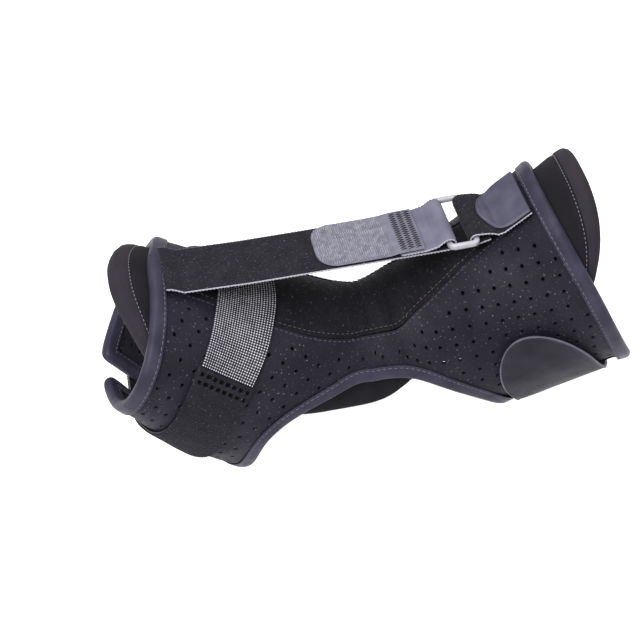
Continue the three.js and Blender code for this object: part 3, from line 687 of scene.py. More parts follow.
def sewing_thread(name, light, dark):
    finish, node, links, shader = finish_named(name, 0.55)
    flat = flat_layout(node)
    plies = {"bands_direction": "DIAGONAL"}
    ply = node("TexWave", plies, Vector=flat, Scale=900.0, Distortion=0.6).outputs["Fac"]
    links.new(ramp(node, ply, [(0.2, dark), (0.8, light)]), shader.inputs["Base Color"])
    bumps(node, links, shader, (0.5, 0.0002, ply))
    faint_sheen(shader)
    return finish


dark_thread = sewing_thread("dark_thread", (0.075, 0.072, 0.09), (0.025, 0.023, 0.031))
for side, where in ((-1, "outer"), (1, "inner")):
    w = np.linspace(-0.975, 0.94, 260)
    for inset, mark in ((1.9, "near"), (-2.6, "far")):
        flat = laid_flat(w, side * seam_angle(w))
        flat[:, 1] += side * inset
        w_row, angle_row = folded_up(flat)
        row = over_skin(w_row, angle_row, np.full_like(w_row, WRAP_TOP + 0.1))
        stitch_row("seam_stitches_" + where + "_" + mark, row, skin_normal(w_row, angle_row),
                   3.0, 2.1, 0.3, dark_thread, "dorsal_panel")

# Edge binding
# One smooth tape folded over the whole edge of the wrap, nearly 9 mm wide on each face, and sewn through near
# its inner edge. It swells and puckers a little along its length.
TAPE_SECTION = [  # in from the edge, out from the middle of the wrap
    (7.3, 2.35), (7.45, 2.7), (7.2, 3.02), (6.5, 3.1), (6.0, 2.98), (5.5, 3.1), (4.0, 3.4), (2.2, 3.5),
    (0.8, 3.25), (-0.2, 2.7), (-0.9, 1.85), (-1.25, 0.95), (-1.35, 0.0), (-1.25, -0.95), (-0.9, -1.85),
    (-0.2, -2.7), (0.8, -3.2), (2.2, -3.3), (4.0, -3.25), (5.5, -3.05), (6.5, -3.05), (7.2, -2.95),
    (7.45, -2.7), (7.3, -2.35), (4.5, -2.3), (1.0, -2.3), (0.1, -1.9), (-0.3, -1.0), (-0.35, 0.0),
    (-0.3, 1.0), (0.1, 1.9), (1.0, 2.3), (4.5, 2.3),
]
OUTER_FACE_POINTS = 24
STITCH_PITCH = 3.4
tape_w, tape_angle = folded_up(edge_flat)
tape_mid = over_skin(tape_w, tape_angle, WRAP_BASE + WRAP_THICKNESS / 2 + corner_lift(tape_w, tape_angle))
tape_normal = skin_normal(tape_w, tape_angle)
tape_along = np.roll(tape_mid, -1, axis=0) - np.roll(tape_mid, 1, axis=0)
tape_along /= np.linalg.norm(tape_along, axis=1, keepdims=True)
tape_in = np.cross(tape_normal, tape_along)
tape_in /= np.linalg.norm(tape_in, axis=1, keepdims=True)
toe_at = int(np.argmin(tape_w))
if tape_in[toe_at] @ (np.array([50.0, 0, 0]) - tape_mid[toe_at]) < 0:
    tape_in = -tape_in
tape_reach = reach_along(tape_mid)
section_reach = reach_along(np.array(TAPE_SECTION))
tape_points, tape_layout = [], []
for k in range(len(tape_mid)):
    swell = 1 + 0.03 * noise.noise(Vector((tape_reach[k] * 0.08, 0, 1.3)))
    pucker = 0.05 * math.sin(tape_reach[k] * 2 * math.pi / STITCH_PITCH)
    pucker += 0.09 * noise.noise(Vector((tape_reach[k] * 0.3, 4, 0)))
    for n, (u, v) in enumerate(TAPE_SECTION):
        outer_face = 1.0 if n < OUTER_FACE_POINTS else 0.0
        v = v * swell + math.copysign(pucker, v) * outer_face if v else 0.0
        tape_points.append(tape_mid[k] + tape_in[k] * u * (swell if u > 0 else 1) + tape_normal[k] * v)
        tape_layout.append((tape_reach[k], section_reach[n]))
tape_faces = tube_faces(len(tape_mid), len(TAPE_SECTION), closed=True)


def smooth_tape(name, low, high, rough):
    finish, node, links, shader = finish_named(name, rough)
    flat = flat_layout(node)
    cloud = mottle(node, flat, 70.0, 4.0)
    links.new(ramp(node, cloud, [(0.3, low), (0.72, high)]), shader.inputs["Base Color"])
    bands = {"wave_type": "BANDS", "bands_direction": "X"}
    rib = node("TexWave", bands, Vector=flat, Scale=420.0, Distortion=0.4).outputs["Fac"]
    bumps(node, links, shader, (0.18, 0.0002, rib), (0.25, 0.0008, cloud))
    worn = [(0.3, (rough + 0.08,) * 3), (0.75, (rough - 0.1,) * 3)]
    links.new(ramp(node, cloud, worn), shader.inputs["Roughness"])
    faint_sheen(shader, 0.35, (0.7, 0.68, 0.95))
    return finish


binding_tape = smooth_tape("binding_tape", (0.017, 0.0158, 0.027), (0.032, 0.0298, 0.048), 0.46)
binding = make_piece("edge_binding_tape", tape_points, tape_faces, tape_layout, binding_tape, 60)
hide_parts("edge_binding")
tape_thread = sewing_thread("tape_thread", (0.14, 0.135, 0.175), (0.045, 0.042, 0.058))
for face, mark in ((3.12, "outside"), (-3.1, "inside")):
    closed_mid = tape_mid + tape_in * 6.0 + tape_normal * face
    stitch_row("binding_stitches_" + mark, np.vstack([closed_mid, closed_mid[:1]]),
               np.vstack([tape_normal, tape_normal[:1]]) * math.copysign(1, face),
               STITCH_PITCH, 2.3, 0.26, tape_thread, "edge_binding")

# Pad under the wrap
# A tongue of foam, 12 mm thick, faced with black cloth on both sides and with a ribbed edge band all round. It
# stands out of the wrap at both ends.
PAD_ROWS, PAD_COLS = 230, 90
PAD_TOP = -1.05 - 0.9
PAD_THICK = 12.0
PAD_BAND = 7.5
PAD_LENGTH, CROWN_LENGTH, CROWN_HALF_WIDTH = 345, 280, 75


def pad_place(i_share, v):
    edge = 0.2 * np.abs(v) ** 2.5
    w = (-1.15 + edge) * (1 - i_share) + (1.15 - edge) * i_share
    reach = np.minimum(1, np.abs(w))
    end = np.where(w < 0, 84.0, 72.0)
    half = 56 + (end - 56) * ease(reach / 0.6)
    return w, np.where(w < 0, -4.0, 6.0) * reach + v * half


gi = np.linspace(0, 1, PAD_ROWS)[:, None] + 0 * np.linspace(-1, 1, PAD_COLS)[None, :]
gv = np.linspace(-1, 1, PAD_COLS)[None, :] + 0 * gi
grid_w, grid_a = pad_place(gi, gv)
grid_flat = laid_flat(np.clip(grid_w, -1.19, 1.19).ravel(), grid_a.ravel()).reshape(PAD_ROWS, PAD_COLS, 2)
border_near = np.minimum(np.minimum(gi, 1 - gi) * CROWN_LENGTH, (1 - np.abs(gv)) * CROWN_HALF_WIDTH)
crown = 1.4 * np.sqrt(np.clip(border_near / 5.0, 0, 1)) - 1.4
from_end = np.minimum(gi, 1 - gi) * PAD_LENGTH
crown -= 0.9 * np.exp(-((from_end - PAD_BAND) / 1.1) ** 2)
dent = 0.7 * pile(grid_flat.reshape(-1, 2), 0.03, 5.0).reshape(PAD_ROWS, PAD_COLS)
pad_upper = over_skin(grid_w, grid_a, PAD_TOP + crown + np.minimum(dent, 0))
pad_lower = over_skin(grid_w, grid_a, PAD_TOP - PAD_THICK - crown + np.maximum(dent, 0))


def foam_piece(name, upper, lower, layout, finish):
    """The pad: two faces joined by a rounded edge."""
    rows, cols = upper.shape[:2]
    count = rows * cols
    rim = rim_of(rows, cols)
    flat_rim = [i * cols + j for i, j in rim]
    points = [upper.reshape(-1, 3), lower.reshape(-1, 3)]
    flat = layout.reshape(-1, 2)
    layouts = [flat, flat]
    faces = [tuple(reversed(f)) for f in grid_faces(rows, cols)] + grid_faces(rows, cols, count)
    top = points[0][flat_rim]
    bottom = points[1][flat_rim]
    inner = np.array([(min(max(i, 2), rows - 3), min(max(j, 2), cols - 3)) for i, j in rim])
    away = (top + bottom) / 2 - (upper[inner[:, 0], inner[:, 1]] + lower[inner[:, 0], inner[:, 1]]) / 2
    through = top - bottom
    through /= np.linalg.norm(through, axis=1, keepdims=True)
    away -= through * np.sum(away * through, axis=1, keepdims=True)
    for _ in range(10):
        away = (np.roll(away, 1, axis=0) + 2 * away + np.roll(away, -1, axis=0)) / 4
    away /= np.linalg.norm(away, axis=1, keepdims=True)
    reach = reach_along(top)
    steps = 14
    loops = [flat_rim]
    start = 2 * count
    for s in range(1, steps):
        t = s / steps
        rib = 0.22 * math.cos(2 * math.pi * t * 5)
        bulge = 1.5 * (1 - abs(2 * t - 1) ** 2.6) + rib
        points.append(top * (1 - t) + bottom * t + away * bulge)
        layouts.append(np.stack([reach, np.full_like(reach, t * PAD_THICK)], -1) + [2000, 2000])
        loops.append([start + k for k in range(len(rim))])
        start += len(rim)
    loops.append([count + k for k in flat_rim])
    for a, b in zip(loops, loops[1:]):
        for k in range(len(rim)):
            n = (k + 1) % len(rim)
            faces.append((a[k], a[n], b[n], b[k]))
    band_from = len(grid_faces(rows, cols)) * 2
    piece = make_piece(name, np.vstack(points), faces, np.vstack(layouts), finish, 75)
    return piece, band_from


def foam_cloth():
    finish, node, links, shader = finish_named("ribbed_foam", 0.88)
    flat = flat_layout(node)
    cloud = mottle(node, flat, 34.0, 6.0, 0.6)
    black = [(0.3, (0.0045, 0.0041, 0.0058)), (0.75, (0.0095, 0.0086, 0.0118))]
    links.new(ramp(node, cloud, black), shader.inputs["Base Color"])
    nap = mottle(node, flat, 900.0, 2.0)
    bumps(node, links, shader, (0.5, 0.0004, nap), (0.3, 0.0015, cloud))
    faint_sheen(shader, 0.5, (0.78, 0.7, 0.74))
    return finish


def ribbed_band():
    finish, node, links, shader = finish_named("ribbed_band", 0.8)
    flat = flat_layout(node)
    bands = {"wave_type": "BANDS", "bands_direction": "X"}
    rib = node("TexWave", bands, Vector=flat, Scale=520.0, Distortion=2.5, Detail=2.0).outputs["Fac"]
    cloud = mottle(node, flat, 60.0, 5.0)
    both = node("Math", {"operation": "MULTIPLY"}, i0=rib, i1=cloud).outputs[0]
    brown = [(0.08, (0.0125, 0.0105, 0.0145)), (0.6, (0.026, 0.0215, 0.0295))]
    links.new(ramp(node, both, brown), shader.inputs["Base Color"])
    bumps(node, links, shader, (0.3, 0.0003, rib))
    faint_sheen(shader, tint=(0.85, 0.72, 0.76))
    return finish


foam = foam_cloth()
pad, band_from = foam_piece("instep_pad_foam", pad_upper, pad_lower, grid_flat, foam)
pad.data.materials.append(ribbed_band())
for polygon in pad.data.polygons:
    row = polygon.index % (band_from // 2) // (PAD_COLS - 1)
    if polygon.index >= band_from or min(row, PAD_ROWS - 1 - row) / PAD_ROWS * PAD_LENGTH < PAD_BAND:
        polygon.material_index = 1
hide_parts("instep_pad")
band_thread = sewing_thread("band_thread", (0.2, 0.19, 0.22), (0.06, 0.055, 0.07))
for end, mark in ((PAD_BAND / PAD_LENGTH, "toe"), (1 - PAD_BAND / PAD_LENGTH, "shin")):
    v = np.linspace(-0.93, 0.93, 160)
    w, angle = pad_place(np.full_like(v, end), v)
    height = np.full_like(v, PAD_TOP - 0.75)
    stitch_row("pad_band_stitches_" + mark, over_skin(w, angle, height), skin_normal(w, angle),
               2.6, 1.7, 0.26, band_thread, "instep_pad")

# Forefoot strap
# A band round the front of the wrap: 34 mm woven elastic over the top, sewn at the outer side to a 38 mm
# brushed loop strap that runs on underneath and up to the inner side.
STRAP_WIDTH, STRAP_THICK, ELASTIC_WIDTH = 38.0, 1.8, 34.0
STRAP_BASE = WRAP_TOP + 0.9


def strap_section(across_steps):
    """Across and out shares round a flat strap's section, starting at its near edge on top."""
    s = np.linspace(-1, 1, across_steps)
    t = (1 - np.abs(s) ** (across_steps * 1.4)) * 0.5
    t = np.where(np.abs(s) > 0.999, 0.0, t)
    upper = np.stack([s, t], -1)
    lower = np.stack([s[::-1][1:-1], -t[::-1][1:-1]], -1)
    return upper, lower


def strap_piece(name, lengths, place, half_width, finish, relief, across_steps, thick=STRAP_THICK):
    """A flat strap from its length stations: place(length, across, out) gives points, in millimetres."""
    lengths = np.asarray(lengths, float)
    half = np.broadcast_to(np.asarray(half_width, float), lengths.shape)
    upper, lower = strap_section(across_steps)
    loop = np.vstack([upper, lower])
    n, m = len(lengths), len(loop)
    ll = np.repeat(lengths, m)
    across = (half[:, None] * loop[None, :, 0]).ravel()
    out = np.tile(loop[:, 1] * thick, n)
    on_top = np.tile(np.concatenate([np.ones(len(upper)), np.zeros(len(lower))]), n)
    if relief is not None:
        on_face = np.abs(np.tile(loop[:, 1], n)) > 0.3
        out = out + np.where(on_top > 0, 1.0, -1.0) * relief(ll, across) * on_face
    return make_piece(name, place(ll, across, out), tube_faces(n, m), np.stack([ll, across], -1), finish, 50)


fore_turn = np.linspace(-360, 180, 1081)
FORE_ANGLE = np.array([-180, -120, -80, -40, 0, 60, 120, 180.0])
FORE_W = np.array([-0.66, -0.68, -0.738, -0.726, -0.702, -0.7, -0.69, -0.66])


def fore_centre(turn):
    angle = np.where(turn < -180, turn + 360, turn)
    return smooth_at(FORE_ANGLE, FORE_W[:, None], angle)[..., 0], angle


def fore_height(angle):
    return STRAP_BASE + 1.2 * ease((np.abs(angle) - 135) / 20)


fore_w, fore_a = fore_centre(fore_turn)
fore_line = over_skin(fore_w, fore_a, fore_height(fore_a) + STRAP_THICK / 2)
fore_reach = reach_along(fore_line)


def fore_place(length, across, out):
    turn = np.interp(length, fore_reach, fore_turn)
    w, angle = fore_centre(turn)
    return over_skin(w + across / FOOT_REACH, angle, fore_height(angle) + STRAP_THICK / 2 + out)


def reach_at(turn):
    return float(np.interp(turn, fore_turn, fore_reach))


WEAVE_PITCH, SELVEDGE_FROM = 1.5, 14.9


def webbing_relief(length, across):
    cord = 0.1 * np.cos(2 * np.pi * across / WEAVE_PITCH)
    pick = 0.1 * np.sin(2 * np.pi * length / WEAVE_PITCH)
    scallop = 0.6 + 0.4 * np.cos(2 * np.pi * length / 2.4)
    selvedge = 0.25 * ease((np.abs(across) - SELVEDGE_FROM) / 0.6) * scallop - 0.1
    return np.where(np.abs(across) < SELVEDGE_FROM, cord + pick, selvedge)


def woven_elastic():
    finish, node, links, shader = finish_named("woven_elastic", 0.72)
    flat = flat_layout(node)
    parts = node("SeparateXYZ", None, Vector=flat).outputs

    def wave(part, kind, pitch):
        turned = node("Math", {"operation": "MULTIPLY"}, i0=parts[part], i1=2 * math.pi / pitch).outputs[0]
        return node("Math", {"operation": kind}, i0=turned).outputs[0]

    pick, cord = wave("X", "SINE", WEAVE_PITCH * 0.001), wave("Y", "COSINE", WEAVE_PITCH * 0.001)
    both = node("Math", {"operation": "ADD"}, i0=pick, i1=cord).outputs[0]
    cloud = mottle(node, flat, 260.0, 3.0)
    shade = mottle(node, flat, 26.0, 2.0)
    grid = node("Math", {"operation": "MULTIPLY_ADD"}, i0=both, i1=0.24, i2=0.3).outputs[0]
    mixed = node("Math", {"operation": "MULTIPLY_ADD"}, i0=cloud, i1=0.3, i2=grid).outputs[0]
    toned = node("Math", {"operation": "MULTIPLY_ADD"}, i0=shade, i1=0.3, i2=mixed).outputs[0]
    stops = [(0.45, (0.0085, 0.008, 0.0115)), (0.68, (0.024, 0.0225, 0.03)), (0.98, (0.42, 0.415, 0.45))]
    links.new(ramp(node, toned, stops), shader.inputs["Base Color"])
    bumps(node, links, shader, (0.5, 0.0004, both))
    faint_sheen(shader)
    return finish


def brushed_loop():
    finish, node, links, shader = finish_named("loop_strap", 0.9)
    flat = flat_layout(node)
    cloud = mottle(node, flat, 90.0, 6.0, 0.7)
    speck = node("TexVoronoi", {"feature": "F1"}, Vector=flat, Scale=520.0).outputs["Distance"]
    tint = ramp(node, cloud, [(0.28, (0.0055, 0.005, 0.007)), (0.75, (0.014, 0.013, 0.0175))])
    # Painted highlight: tiny bright glints from a fine noise, mixed into the base colour.
    grain = mottle(node, flat, 800.0, 2.0, 0.7)
    glint = ramp(node, grain, [(0.63, (0, 0, 0)), (0.73, (1, 1, 1))])
    mix = node("Mix", {"data_type": "RGBA", "blend_type": "MIX"}, i0=glint, i6=tint, i7=(0.1, 0.095, 0.12, 1))
    links.new(mix.outputs[2], shader.inputs["Base Color"])
    bumps(node, links, shader, (0.8, 0.0006, speck), (0.35, 0.0012, cloud))
    faint_sheen(shader, 0.55, (0.7, 0.68, 0.85))
    return finish


elastic_from, elastic_to = reach_at(-66), reach_at(118)
elastic = strap_piece("forefoot_elastic_web", np.arange(elastic_from, elastic_to, 0.36), fore_place,
                      ELASTIC_WIDTH / 2, woven_elastic(), webbing_relief, across_steps=95)
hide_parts("forefoot_elastic")

loop_cloth = brushed_loop()
loop_from, loop_to = reach_at(118 - 360 + 0.4), elastic_from - 0.5


BOX_ROWS, BOX_PITCH, BOX_HALF = (3.6, 8.2), 4.4, (1.15, 1.25)


def in_box(length, across):
    """The two rows of punched boxes under the joint with the elastic."""
    up = loop_to - length
    row = np.where(up < 6.0, up - BOX_ROWS[0], up - BOX_ROWS[1])
    column = (across + STRAP_WIDTH / 2 + BOX_PITCH / 2) % BOX_PITCH - BOX_PITCH / 2
    return (np.abs(row) < BOX_HALF[0]) & (np.abs(column) < BOX_HALF[1]) & (np.abs(across) < 17)


def loop_relief(length, across):
    nap = 0.12 * np.sin(length * 2.9 + 1.7 * np.sin(across * 1.1)) * np.sin(across * 2.3)
    return np.where(in_box(length, across), -0.9, nap)


LOOP_ROWS, LOOP_STEPS = 460, 71


def faces_round(across_steps):
    """Faces once round a strap's section."""
    return 2 * (across_steps - 1)


loop_step = (loop_to - loop_from) / LOOP_ROWS
under_strap = strap_piece("forefoot_strap_loop", np.arange(loop_from, loop_to + 0.01, loop_step),
                          fore_place, STRAP_WIDTH / 2, loop_cloth, loop_relief, LOOP_STEPS)
# Painted shade: the faces inside the punched boxes get a near-black finish that stands in for the shade in the
# holes.
punched = smooth_tape("painted_hole_shade", (0.0006, 0.0006, 0.0008), (0.0012, 0.0012, 0.0016), 0.9)
under_strap.data.materials.append(punched)
under_strap.data.materials.append(sewing_thread("edge_of_loop", (0.12, 0.115, 0.14), (0.03, 0.028, 0.036)))
for polygon in under_strap.data.polygons:
    row, column = divmod(polygon.index, faces_round(LOOP_STEPS))
    if column < LOOP_STEPS - 1 and row < LOOP_ROWS:
        across = -STRAP_WIDTH / 2 + (column + 0.5) * STRAP_WIDTH / (LOOP_STEPS - 1)
        if in_box(loop_from + (row + 0.5) * loop_step, across):
            polygon.material_index = 1
    if column == faces_round(LOOP_STEPS) - 1:
        polygon.material_index = 2
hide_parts("forefoot_strap")

# Calf closure
# A smooth laminated tab that comes round from the inner wing, pressed on the outer wing. Its end is rounded,
# with a thin welted edge; the light that edge catches is painted as a lighter finish on its edge faces.
TAB_W, TAB_WIDTH, TAB_BASE, TAB_STEPS = 0.64, 50.0, 5.35 + 2.2, 61
tab_turn = np.linspace(140 - 360, -70, 700)


def tab_angle(turn):
    return np.where(turn < -180, turn + 360, turn)


tab_height = np.full_like(tab_turn, TAB_BASE + STRAP_THICK / 2)
tab_line = over_skin(np.full_like(tab_turn, TAB_W), tab_angle(tab_turn), tab_height)
tab_reach = reach_along(tab_line)
tab_tip = float(tab_reach[-1])
tab_square = float(np.interp(-115, tab_turn, tab_reach))


def tab_place(length, across, out):
    angle = tab_angle(np.interp(length, tab_reach, tab_turn))
    return over_skin(TAB_W + across / SHIN_REACH, angle, TAB_BASE + STRAP_THICK / 2 + out)


end_share = np.sin(np.linspace(0, 0.5 * np.pi, 60))
tab_round = tab_tip - tab_square
tab_lengths = np.concatenate([np.arange(0, tab_square - 0.5, 1.2), tab_square + tab_round * end_share])
round_at = ((tab_lengths - tab_square) / tab_round).clip(0, 1)
tab_half = TAB_WIDTH / 2 * np.sqrt(np.clip(1 - round_at**2, 0.0004, 1))


def tab_relief(length, across):
    half = np.interp(length, tab_lengths, tab_half)
    inward = np.minimum(half - np.abs(across), tab_tip - length)
    return 0.25 * np.exp(-((inward - 0.9) / 0.7) ** 2) - 0.15 * np.exp(-((inward - 2.6) / 0.7) ** 2)


# Painted highlight: the lighter welt finish on the tabs' edge faces and rounded ends stands in for the light
# the welted edges catch.
painted_welt_highlight = smooth_tape("painted_welt_highlight", (0.055, 0.053, 0.075), (0.1, 0.097, 0.13), 0.45)
closure_cloth = smooth_tape("closure_tab", (0.0085, 0.0077, 0.0125), (0.0145, 0.0132, 0.021), 0.5)
tab = strap_piece("calf_closure_tab", tab_lengths, tab_place, tab_half, closure_cloth, tab_relief, TAB_STEPS)
tab.data.materials.append(painted_welt_highlight)


def edge_columns(across_steps):
    """The faces along both edges of a strap, above and below."""
    return (0, across_steps - 2, across_steps - 1, faces_round(across_steps) - 1)


for polygon in tab.data.polygons:
    row, column = divmod(polygon.index, faces_round(TAB_STEPS))
    if column in edge_columns(TAB_STEPS) or row >= len(tab_lengths) - 4:
        polygon.material_index = 1
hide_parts("calf_closure")

# Ring buckle
# A moulded grey rectangular ring with rounded corners, over which both straps of the instep fold.
ring_x, ring_z = on_leg(0.677 * SHIN_REACH, 0.552 * SHIN_DEPTH)
RING_CENTRE = np.array([ring_x, 0.0, ring_z])
RING_LENGTH, RING_PLAY, BAR = 19.0, 1.0, 3.4
RING_CORNER, RING_STEP, BAR_SQUARENESS = 3.0, 0.9, 3.2
lift_point = over_skin(np.array(-0.93), np.array(0.0), np.array(STRAP_BASE + STRAP_THICK / 2))
chord = RING_CENTRE - lift_point
chord[1] = 0
chord /= np.linalg.norm(chord)
strap_across = np.array([0.0, 1.0, 0.0])
strap_above = np.cross(chord, strap_across)


def in_strap_frame(x, y, z):
    x, y, z = np.broadcast_arrays(x, y, z)
    return RING_CENTRE + x[..., None] * chord + y[..., None] * strap_across + z[..., None] * strap_above


def ring_path():
    half_x, half_y = RING_LENGTH / 2 - BAR / 2, STRAP_WIDTH / 2 + RING_PLAY + BAR / 2
    line = []
    for sx, sy, start in ((1, 1, 0), (-1, 1, 90), (-1, -1, 180), (1, -1, 270)):
        cx, cy = sx * (half_x - RING_CORNER), sy * (half_y - RING_CORNER)
        for k in range(9):
            t = math.radians(start + 90 * k / 8)
            line.append((cx + RING_CORNER * math.cos(t), cy + RING_CORNER * math.sin(t)))
    return evenly(np.array(line), RING_STEP, True)


ring_line = ring_path()
ring_tangent = np.roll(ring_line, -1, axis=0) - np.roll(ring_line, 1, axis=0)
ring_tangent /= np.linalg.norm(ring_tangent, axis=1, keepdims=True)
RING_SIDES = 20
ring_points, ring_layout = [], []
for k, (p, t) in enumerate(zip(ring_line, ring_tangent)):
    for m in range(RING_SIDES):
        a = 2 * math.pi * m / RING_SIDES
        flat_side = abs(math.cos(a)) ** BAR_SQUARENESS + abs(math.sin(a)) ** BAR_SQUARENESS
        flat_side = flat_side ** (-1 / BAR_SQUARENESS)
        u, v = BAR / 2 * flat_side * math.cos(a), BAR / 2 * flat_side * math.sin(a)
        ring_points.append(in_strap_frame(p[0] + t[1] * u, p[1] - t[0] * u, np.array(v)))
        ring_layout.append((k * RING_STEP, m * 0.5))
ring_faces = tube_faces(len(ring_line), RING_SIDES, closed=True)
moulded, node, links, shader = finish_named("ring_plastic", 0.38, 0.5)
where = node("TexCoord").outputs["Object"]
cloud = mottle(node, where, 140.0, 4.0)
pale_grey = [(0.3, (0.2, 0.198, 0.225)), (0.7, (0.31, 0.308, 0.34))]
links.new(ramp(node, cloud, pale_grey), shader.inputs["Base Color"])
links.new(ramp(node, cloud, [(0.3, (0.32,) * 3), (0.7, (0.46,) * 3)]), shader.inputs["Roughness"])
orange = mottle(node, where, 1500.0, 2.0)
bumps(node, links, shader, (0.15, 0.0002, orange))
ring = make_piece("ring_buckle_moulded", ring_points, ring_faces, ring_layout, moulded, 60)
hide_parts("ring_buckle")

# Tension strap
# 38 mm brushed loop strap, sewn under the binding at the toe edge, taut over the instep, and folded back round
# the ring's front bar. Its edges are woven and a little scalloped.
LAYER_GAP = 0.3
LAYER = STRAP_THICK + LAYER_GAP
STRAP_STEPS, STRAP_STEP = 51, 0.8
fold_radius = math.hypot(BAR / 2, BAR / 2) + LAYER_GAP + STRAP_THICK / 2
bar_x = RING_LENGTH / 2 - BAR / 2


def seat_at(w, lift):
    """Where a flat strap rests on the outside at w, as x and z in the frame of the straps."""
    angle = np.arange(-30, 31, 3.0)
    p = over_skin(np.full_like(angle, w), angle, np.full_like(angle, lift)) - RING_CENTRE
    p = p[np.abs(p @ strap_across) <= STRAP_WIDTH / 2]
    best = p[np.argmax(p @ strap_above)]
    return (float(best @ chord), float(best @ strap_above))


ARC_STEPS = 14


def arc(x, z, radius, start, end):
    t = np.radians(np.linspace(start, end, ARC_STEPS + 1))
    return list(zip(x + radius * np.cos(t), z + radius * np.sin(t)))


def strap_course(line, soften=2):
    """A strap's course in x and z with soft bends: a place function for it, and its length."""
    line = np.array(line, float)
    for _ in range(soften):
        cut = [line[0]]
        for a, b in zip(line, line[1:]):
            cut += [a * 0.75 + b * 0.25, a * 0.25 + b * 0.75]
        line = np.array(cut + [line[-1]])
    line = evenly(line, 0.35, False)
    reach = reach_along(line)
    tangent = np.gradient(line, axis=0)
    tangent /= np.linalg.norm(tangent, axis=1, keepdims=True)

    def place(length, across, out):
        x = np.interp(length, reach, line[:, 0])
        z = np.interp(length, reach, line[:, 1])
        tx = np.interp(length, reach, tangent[:, 0])
        tz = np.interp(length, reach, tangent[:, 1])
        size = np.hypot(tx, tz)
        return in_strap_frame(x - out * tz / size, across, z + out * tx / size)

    return place, float(reach[-1])


toe_seats = [seat_at(w, STRAP_BASE + STRAP_THICK / 2) for w in (-0.985, -0.93)]
sewn_start = seat_at(-1.005, STRAP_BASE + STRAP_THICK / 2 - 1.7)
return_z = -fold_radius + LAYER
BEND_RUN, FREE_RUN, SEWN_RUN = 9.0, 14.0, 15.0
fold_back = -bar_x - BEND_RUN
sewn_end = -bar_x - FREE_RUN - SEWN_RUN
tension_line = [sewn_start, *toe_seats, (fold_back, -fold_radius), *arc(-bar_x, 0, fold_radius, -90, 90),
                (-bar_x - BAR / 2 - LAYER_GAP, fold_radius), (fold_back, return_z), (sewn_end, return_z)]
tension_place, tension_length = strap_course(tension_line, 1)


def napped_relief(length, across):
    nap = 0.10 * np.sin(length * 3.1 + 1.3 * np.sin(across * 0.9)) * np.sin(across * 2.1 + 0.7)
    return nap - 0.25 * np.exp(-((STRAP_WIDTH / 2 - np.abs(across)) / 1.4) ** 2)


tension = strap_piece("tension_strap_loop", np.arange(0, tension_length, STRAP_STEP), tension_place,
                      STRAP_WIDTH / 2, loop_cloth, napped_relief, STRAP_STEPS)
tension.data.materials.append(smooth_tape("strap_back", (0.07, 0.068, 0.098), (0.115, 0.112, 0.15), 0.5))
folded_from = int((tension_length - SEWN_RUN - FREE_RUN - BEND_RUN / 2) / STRAP_STEP)
for polygon in tension.data.polygons:
    if polygon.index // faces_round(STRAP_STEPS) >= folded_from:
        polygon.material_index = 1
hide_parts("tension_strap")


SCALLOP = 2.0


def scalloped_edge(name, place, strap_length, across, size, finish, node_name):
    """The woven edge of a loop strap: a cord that goes in and out along it."""
    lengths = np.arange(0.5, strap_length - 0.5, SCALLOP / 6)
    wave = np.cos(2 * np.pi * lengths / SCALLOP)
    side = math.copysign(1, across)
    verts = []
    sides = 7
    for k in range(sides):
        a = 2 * math.pi * k / sides
        radius = size * (0.85 + 0.15 * wave)
        out_by = side * (0.12 * wave + radius * math.cos(a))
        verts.append(place(lengths, across + out_by, radius * 0.8 * math.sin(a)))
    points = np.stack(verts, 1).reshape(-1, 3)
    faces = tube_faces(len(lengths), sides, turned=side < 0)
    layout = np.stack([np.repeat(lengths, sides), np.tile(np.arange(sides) * 0.6, len(lengths))], -1)
    cord = make_piece(name, points, faces, layout, finish, 70)
    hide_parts(node_name)


edge_yarn = sewing_thread("edge_yarn", (0.085, 0.082, 0.1), (0.02, 0.019, 0.026))
# Painted highlight: the near woven edge of each loop strap takes a much lighter yarn than the far edge, for
# the light along it.
painted_lit_yarn = sewing_thread("painted_lit_yarn", (0.36, 0.35, 0.4), (0.16, 0.155, 0.185))
strap_edge = STRAP_WIDTH / 2
for across, mark, size, yarn in ((-strap_edge, "near", 0.62, painted_lit_yarn), (strap_edge, "far", 0.6, edge_yarn)):
    scalloped_edge("tension_edge_" + mark, tension_place, tension_length, across, size, yarn, "tension_strap")

# Hook tab
# Grey moulded hook tape on the folded end of the tension strap: rows of tiny hooks on a thin backing, rounded
# corners at its free end, and a zigzag seam that holds it to the strap.
HOOK_THICK, HOOK_LENGTH, HOOK_CORNER = 1.4, 47.0, 12.0
hook_lift = (STRAP_THICK + HOOK_THICK) / 2 + LAYER_GAP
strap_slope = (toe_seats[1][1] + fold_radius) / (toe_seats[1][0] - fold_back)
hook_tip, hook_bend = sewn_end - HOOK_LENGTH, sewn_end - 6


def strap_top(x):
    return -fold_radius + strap_slope * (x - fold_back) + hook_lift


hook_place, hook_length = strap_course(
    [(hook_tip, strap_top(hook_tip)), (hook_bend, strap_top(hook_bend)),
     (sewn_end - LAYER_GAP, return_z + hook_lift), (sewn_end + SEWN_RUN, return_z + hook_lift)], 2)


def corner_width(length, half, corner):
    d = np.clip(corner - length, 0, corner)
    return half - corner + np.sqrt(np.maximum(corner**2 - d**2, 0.0))


